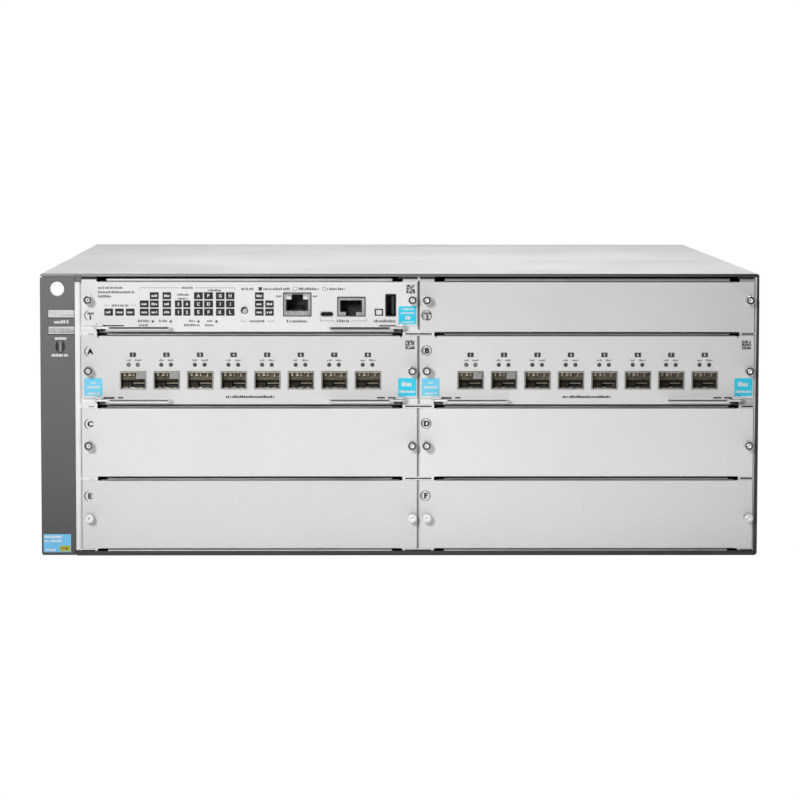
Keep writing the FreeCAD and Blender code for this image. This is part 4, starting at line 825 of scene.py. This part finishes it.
x0, x1, _, _, z0, z1 = boxOf("micro_usb_port")
x, z = middleOf("micro_usb_port")
outline = []
for cx, start in ((x1 - 1.1, -90), (x0 + 1.1, 90)):
    for turn in range(start, start + 181, 20):
        turn = math.radians(turn)
        outline.append((cx + 1.1 * math.cos(turn), z + (z1 - z0) / 2 * math.sin(turn)))
shell, surround, core = Shape(), Shape(), Shape()
for a, b in zip(outline, outline[1:] + outline[:1]):
    inner = [(x + (p[0] - x) * 0.93, z + (p[1] - z) * 0.8) for p in (b, a)]
    shell.prism([a, b, *inner], "xz", front, 5.9)
    corner = (x1 if (a[0] + b[0]) / 2 > x else x0, z1 if (a[1] + b[1]) / 2 > z else z0)
    area = abs((a[0] - corner[0]) * (b[1] - corner[1]) - (a[1] - corner[1]) * (b[0] - corner[0]))
    if abs(a[0] - b[0]) < 1.5 and area > 0.002:  # fills the plate's square hole up to the round shell
        surround.prism([a, b, corner], "xz", 0.0, 1.2)
surround.piece("micro_usb_surround", platePaint["management"], moduleBody)
shell.piece("micro_usb_shell", softInk, moduleBody, replaces=["micro_usb_port"], slot="shield_steel")
core.box(x0 + 0.6, x1 - 0.6, 4.5, 5.8, z0 + 0.3, z1 - 0.3)
core.box(x0 + 1.7, x1 - 1.7, 0.4, 4.5, z - 0.2, z + 0.2)
core.piece("micro_usb_insert", blackPlastic, moduleBody)

x, z = middleOf("mode_button")
front, back = boxOf("mode_button")[2:4]
cap, ring, edge = Shape(), Shape(), Shape()
capRings = ((front + 0.18, 0.05), (front + 0.12, 0.9), (front, 1.35), (front + 0.08, 1.65), (front + 0.3, 1.82),
            (back - 0.9, 1.85), (back - 0.8, 2.75), (back, 2.75))
cap.lathe([(y, radius, "round", 0) for y, radius in capRings], x, z)
cap.piece("mode_button_cap", buttonGrey, "mode_button", replaces=["mode_button"], slot="button_grey")
# painted shade: a grey ring in the gap round the button and dark crescents at its upper left, on the plate and on the
# button's edge
ring.ring(x, z, 2.15, 1.9, -0.06, 0.0, 0, 360, 36)
ring.ring(x, z, 2.45, 1.9, -0.08, 0.0, 45, 235, 24, 1)
ring.piece("mode_button_ring", [softInk, darkInk], moduleBody)
edge.ring(x, z, 1.85, 1.15, front - 0.05, front + 0.3, 50, 235, 24)
edge.piece("mode_button_edge", darkInk, "mode_button")
rings = Shape()
for index in range(1, 5):
    node = "pin_button_%d" % index
    dress(node, blackPlastic)
    rings.ring(*middleOf(node), 1.2, 0.66, -0.02, 1.0, 0, 360, 24)
rings.piece("pinhole_rings", platePaint["module_a"], moduleBody)
print("management module made")


dress("front_bezel", bezelPlastic, 0.4, 3)
x, z = middleOf("badge_disc")
front, back = boxOf("badge_disc")[2:4]
discRings = ((front + 0.04, 0.05), (front + 0.02, 3.3), (front, 3.9), (front + 0.03, 4.2), (front + 0.14, 4.4),
             (back, 4.4))
shape = Shape()
shape.lathe([(y, radius, "round", 0) for y, radius in discRings], x, z, 56)
shape.piece("badge_plain", discSteel, "chassis", replaces=["badge_disc"], slot="badge_silver")

bezelFace = boxOf("front_bezel")[2]
barLook = {"ribs": 5, "ribWide": 0.5, "creases": 4, "creaseWide": 0.14, "proud": 0.04}
for index, part in enumerate(looseParts("light_bars")):
    (x0, x1), (y0, _), (z0, z1) = part.reach()
    part.piece("light_bar_%d" % (index + 1), clearPlastic, "chassis", 0.35, 3, replaces=[] if index else ["light_bars"],
               slot="clear_bar")
    ribs = Shape()
    ribs.box(x0 + 0.4, x1 - 0.6, y0 + 1.95, y0 + 2.0, z0 + 0.4, z1 - 0.4)
    for step in range(barLook["ribs"]):
        rx = x0 + 1.0 + step * (x1 - x0 - 3.2) / (barLook["ribs"] - 1)
        ribs.box(rx, rx + barLook["ribWide"], y0 + 1.7, y0 + 1.95, z0 + 0.5, z1 - 0.5, 1)
    for low, high in ((z1 - 0.75, z1 - 0.3), (z0 + 0.15, z0 + 0.45)):  # painted highlights along the top and bottom edges
        ribs.box(x0 + 0.3, x1 - 0.3, y0 - barLook["proud"], y0 + 0.02, low, high, 1)
    for step in range(barLook["creases"]):
        rx = x0 + 0.9 + step * (x1 - x0 - 2.4) / (barLook["creases"] - 1)
        ribs.box(rx, rx + barLook["creaseWide"], y0 - 0.03, y0 + 0.02, z0 + 0.5, z1 - 0.8, 1)
    # painted shadow: a dark strip on the bezel under each bar
    ribs.box(x0, x1, bezelFace - 0.06, bezelFace, z0 - 0.55, z0 - 0.02, 2)
    ribs.piece("light_bar_ribs_%d" % (index + 1), [lensPale, whiteInk, darkInk], "chassis")

x0, x1, front, _, z0, z1 = boxOf("locator_lens")
x, z, wide, tall = (x0 + x1) / 2, (z0 + z1) / 2, (x1 - x0) / 2, (z1 - z0) / 2
lensRings = ((3.9, 1.0), (0.0, 1.0), (0.12, 0.94), (0.9, 0.86), (1.3, 0.6), (1.4, 0.02))  # depth, share of the width
shape = Shape()
shape.skin([[(x + wide * share * math.cos(turn), front + depth, z + tall * share * math.sin(turn))
             for turn in turnsOf(40)] for depth, share in lensRings])
shape.piece("locator_recess", lensDark, "chassis", replaces=["locator_lens"], slot="clear_bar")
shape = Shape()
reach = tall * 0.75
web = [(x - 0.45, z - reach), (x + 0.55, z - reach), (x + 0.9, z), (x + 0.55, z + reach), (x - 0.45, z + reach),
       (x - 0.7, z)]
shape.prism(web, "xz", front + 0.05, front + 1.35)
for side in (-1, 1):
    near, far = z + side * tall * 0.6, z + side * tall * 0.93
    ends = [(x - wide * 0.72, near), (x + wide * 0.72, near), (x + wide * 0.3, far), (x - wide * 0.3, far)]
    shape.prism(ends[::side], "xz", front + 0.02, front + 0.8, 1)
shape.piece("locator_web", [lensPale, lensEdge], "chassis", 0.1)

bezelPrint = Shape()
bezelPrint.smallPrint(0, 0, ((-213.6, -204.8, 144.4, 146.4, 1), (-213.1, -206.1, 134.3, 136.3, 2),
                             (-215.3, -204.9, 123.9, 126.0, 3)), bezelFace)
bezelPrint.piece("bezel_print", whiteInk, "chassis")
label = Shape()
label.box(-221.1, -204.1, bezelFace - 0.09, bezelFace, 2.2, 13.5)
label.box(-211.0, -204.6, bezelFace - 0.13, bezelFace - 0.09, 2.7, 6.4, 1)
arrow = [(-210.4, 4.3), (-207.6, 4.3), (-207.6, 3.5), (-205.4, 4.55), (-207.6, 5.6), (-207.6, 4.9), (-210.4, 4.9)]
label.prism(arrow, "xz", bezelFace - 0.16, bezelFace - 0.13, 2)
label.smallPrint(0, 0, ((-220.5, -209.8, 11.1, 12.7, 4), (-220.5, -209.8, 8.5, 10.0, 5), (-220.3, -213.2, 3.0, 4.5, 6)),
                 bezelFace - 0.09, 3)
label.piece("bezel_label", [labelSky, labelYellow, labelOlive, whiteInk], "chassis")
print("bezel made")


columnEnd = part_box("slot_cover_d")[1].x
x, y, z = framePaint.axes()
onLand = (x > 0.2089) * (x < columnEnd + 0.0005 + z * 0.006) * (y < frontY + 0.0034) * (z > 0.0032)
framePaint.feed("Base Color", framePaint.mix(onLand, framePaint.tone, (0.58, 0.575, 0.58)))
framePaint.feed("Metallic", 0.1 - onLand * 0.1)

# painted light: the bezel's grey grows lighter towards its top and darker towards its bottom, standing in for the light
# from above
bezelPlastic.feed("Base Color", bezelPlastic.scaled(bezelPlastic.axes()[2] * 0.52 + 0.072))

x, y, z = landPaint.axes()
columnGap = (x > 0.0103 + (z > 0.0925) * 0.0006) * (x < 0.0122)  # painted shade in the gap beside the right column, deeper in the upper rows
gapShade = 0.0
for low, high, depth in ((0.0042, 0.0469, 0.42), (0.0491, 0.0919, 0.42), (0.0943, 0.1368, 0.66),
                         (0.1405, 0.1708, 0.84)):
    gapShade = (z > low) * (z < high) * depth + gapShade
# painted light: the front post (x below -0.1965) is painted lighter towards its top to make up for the bezel's shade
landPaint.feed("Base Color", landPaint.scaled(1.0 + (x < -0.1965) * (z * 1.15 - 0.06) - columnGap * gapShade))

x, y, z = coverPaint.axes()
lip = (y < frontY + 0.0003) * (z < 0.1752)
shade = coverPaint.tone
# painted shade: two dark dashes on the cover top where its small slots show dark
for x0, x1, depth, wide in ((-0.0560, -0.0511, 0.2737, 0.0012), (0.0665, 0.0700, 0.2840, 0.0005)):
    dash = (x > x0) * (x < x1) * ((y - frontY - depth) ** 2 < wide * wide)
    shade = coverPaint.mix(dash * 0.8, shade, 0.03)
# painted shade: the front lip's dark grey is partly its paint and partly painted shade of the front face, and it grows
# darker from left to right as painted falloff of the light
lipShadeGrey = 0.181 - x * 0.635
coverPaint.feed("Base Color", coverPaint.mix(lip, shade, coverPaint.colour(lipShadeGrey, lipShadeGrey, lipShadeGrey + 0.002)))

dressed = {  # finish, bevel and its steps
    "top_cover": (coverPaint, 0.25, 3), "chassis_tray": (framePaint, 0.25, 2), "front_post": (landPaint, 0.3, 2),
    "centre_divider": (landPaint, 0.2, 2), "bay_shelves": (zincSheet, 0.15, 1), "rear_frame": (zincSheet, 0.2, 2),
    "backplane_board": (boardGreen, 0.1, 1), "backplane_connectors": (blackPlastic, 0.2, 2),
    "fan_tray": (zincSheet, 0.3, 3), "fan_frames": (fanPlastic, 0.4, 2),
}
for module in ("management", "module_a", "module_b"):
    dressed[module + "_carrier"] = (zincSheet, 0.12, 2)
    dressed[module + "_board"] = (boardGreen, 0.1, 1)
for index in (1, 2, 3):
    dressed["fan_rotor_%d" % index] = (fanPlastic, 0.2, 2)
for index in (1, 2):
    node = "power_supply_%d" % index
    case, inlet = looseParts(node)[:2]
    case.piece(node + "_case", zincSheet, node, 0.3, 3, replaces=[node], slot="zinc_sheet")
    inlet.piece(node + "_inlet", blackPlastic, node, 0.25, slot="connector_black")
    dressed["supply_latch_%d" % index] = (latchPlastic, 0.4, 3)
for node, look in dressed.items():
    dress(node, *look)

capLook = {"right": -197.3, "drop": 3.8, "edge": 0.4}
left, _, _, _, _, top = boxOf("front_post")
right, edge = capLook["right"], capLook["edge"]
low, high = top - capLook["drop"], top - 0.1
cap = Shape()
cap.box(left + 0.5, right, -0.35, 0.0, low, high)
for x0, x1, z1 in ((left + 0.1, left + 0.5, high), (right, right + edge, high), (left + 0.5, right, low)):
    cap.box(x0, x1, -0.3, 0.0, low - edge, z1, 1)
cap.piece("post_cap", [capPlastic, softInk], "chassis")
ears = Shape()
ears.box(-196.7, -187.4, 0.0, 1.4, 170.0, 171.6)
ears.piece("management_ear_top", platePaint["management"], moduleBody, 0.2)
# painted shadow: near-black strips on the land under the cover's lip, where the lip's shadow falls above the plates
shades = Shape()
for x0, x1, near, low in ((-196.7, -187.2, 0.1, 171.6), (-1.5, 10.5, 0.6, 172.0), (12.0, 21.5, 0.6, 172.0),
                          (208.8, 219.0, 0.6, 172.0)):
    shades.box(x0, x1, near, 1.5, low, 173.05)
shades.piece("lip_shades", windowFilm, "chassis")
seams = Shape()
for node in ("management_faceplate", "module_a_faceplate", "slot_cover_c"):  # the plate above each seam
    top = boxOf(node)[4]
    # the first two boxes fill the seam beside the ear; the third is a thin dark line of painted shade in the seam
    for x0, x1, y0, y1, low, high, slot in ((-196.6, -192.6, 0.3, 1.7, 2.42, 0.03, 0),
                                            (-192.6, -187.3, 0.9, 1.7, 2.42, 0.03, 0),
                                            (-193.0, -187.6, 0.7, 0.95, 2.0, 1.35, 1)):
        seams.box(x0, x1, y0, y1, top - low, top - high, slot)
seams.piece("ear_seams", [landPaint, softInk], "chassis")
sill = Shape()
sillSection = [(0.6, 2.3), (0.6, 3.2), (1.5, 3.95), (5.2, 3.95), (6.4, 3.3), (6.4, 2.3)]
for node in ("slot_cover_e", "slot_cover_f"):
    x0, x1 = boxOf(node)[:2]
    sill.prism(sillSection, "yz", x0 + 15.4, x1 - 15.4)
sill.piece("sill_gaskets", litGasketSteel, "chassis", 0.15)
print("chassis dressed")


studio = {"floor": 3.0, "keyPower": 52.0, "topPower": 5.4, "worldLight": 0.45}
floorMesh = bpy.data.meshes.new("floor")
reach = studio["floor"]
floorMesh.from_pydata([(-reach, -reach, 0), (reach, -reach, 0), (reach, reach, 0), (-reach, reach, 0)], [],
                      [(0, 1, 2, 3)])
floor = bpy.data.objects.new("floor", floorMesh)
floor.location.z = -0.0002
bpy.context.scene.collection.objects.link(floor)
floorLook = Finish("floorLook")
floorLook.feed("Base Color", 0.86)
floorLook.feed("Roughness", 0.7)


def whiteBackdrop(graph, look, white, target):  # the camera sees plain white, and the object is lit by the look
    blend = graph.node("ShaderNodeMixShader", None, {
        0: graph.node("ShaderNodeLightPath"), 1: look, 2: graph.node(white, None, {"Color": 1.0, "Strength": 1.0})})
    graph.put(graph.tree.nodes[target].inputs["Surface"], blend)


whiteBackdrop(floorLook, Wire(floorLook, floorLook.shader.outputs[0]), "ShaderNodeEmission", "Material Output")
floorMesh.materials.append(floorLook.material)

world = bpy.data.worlds.new("studio")
bpy.context.scene.world = world
world.use_nodes = True
sky = Graph(world.node_tree)
upward = sky.node("ShaderNodeSeparateXYZ", None, {0: sky.node("ShaderNodeTexCoord", output=0)}, 2)
skyStops = [(0.0, 0.5), (0.42, 0.62), (0.52, 0.66), (0.60, 0.30), (0.74, 0.22), (0.86, 0.9), (1.0, 1.0)]
rooms = sky.node("ShaderNodeValToRGB", {"stops": skyStops}, {0: upward * 0.5 + 0.5})
dim = sky.node("ShaderNodeBackground", None, {"Color": rooms, "Strength": studio["worldLight"]})
whiteBackdrop(sky, dim, "ShaderNodeBackground", "World Output")


def lamp(name, kind, spot, aim, power, **settings):
    data = bpy.data.lights.new(name, kind)
    data.energy = power
    for key, value in settings.items():
        setattr(data, key, value)
    made = bpy.data.objects.new(name, data)
    made.location = spot
    made.rotation_euler = (Vector(aim) - Vector(spot)).to_track_quat("-Z", "Y").to_euler()
    bpy.context.scene.collection.objects.link(made)


lamp("keyLamp", "SPOT", (-0.5, -1.6, 0.6), (-0.045, -0.23, 0.08), studio["keyPower"], spot_size=math.radians(34),
     spot_blend=1.0, shadow_soft_size=0.15)
lamp("topLamp", "AREA", (0.02, -0.05, 0.85), (0.02, -0.05, 0.17), studio["topPower"], size=0.35)

shot = {"spot": (-33.38, -2031.46, 273.98), "pitch": 4.9797, "yaw": 0.9373, "roll": 0.0856, "lens": 148.188}
cameraData = bpy.data.cameras.new("camera")
cameraData.sensor_width = 36.0
cameraData.lens = shot["lens"]
cameraData.clip_end = 50.0
camera = bpy.data.objects.new("camera", cameraData)
pitch, yaw, roll = (math.radians(shot[key]) for key in ("pitch", "yaw", "roll"))
ahead = Vector((math.sin(yaw) * math.cos(pitch), math.cos(yaw) * math.cos(pitch), -math.sin(pitch)))
right = Vector((math.cos(yaw), -math.sin(yaw), 0.0))
up = right.cross(ahead)
right, up = right * math.cos(roll) + up * math.sin(roll), up * math.cos(roll) - right * math.sin(roll)
turn = Matrix((right, up, -ahead)).transposed()
camera.matrix_world = Matrix.Translation(place(*shot["spot"])) @ turn.to_4x4()
bpy.context.scene.collection.objects.link(camera)
bpy.context.scene.camera = camera
bpy.context.scene.view_settings.view_transform = "Standard"

bpy.context.view_layer.update()
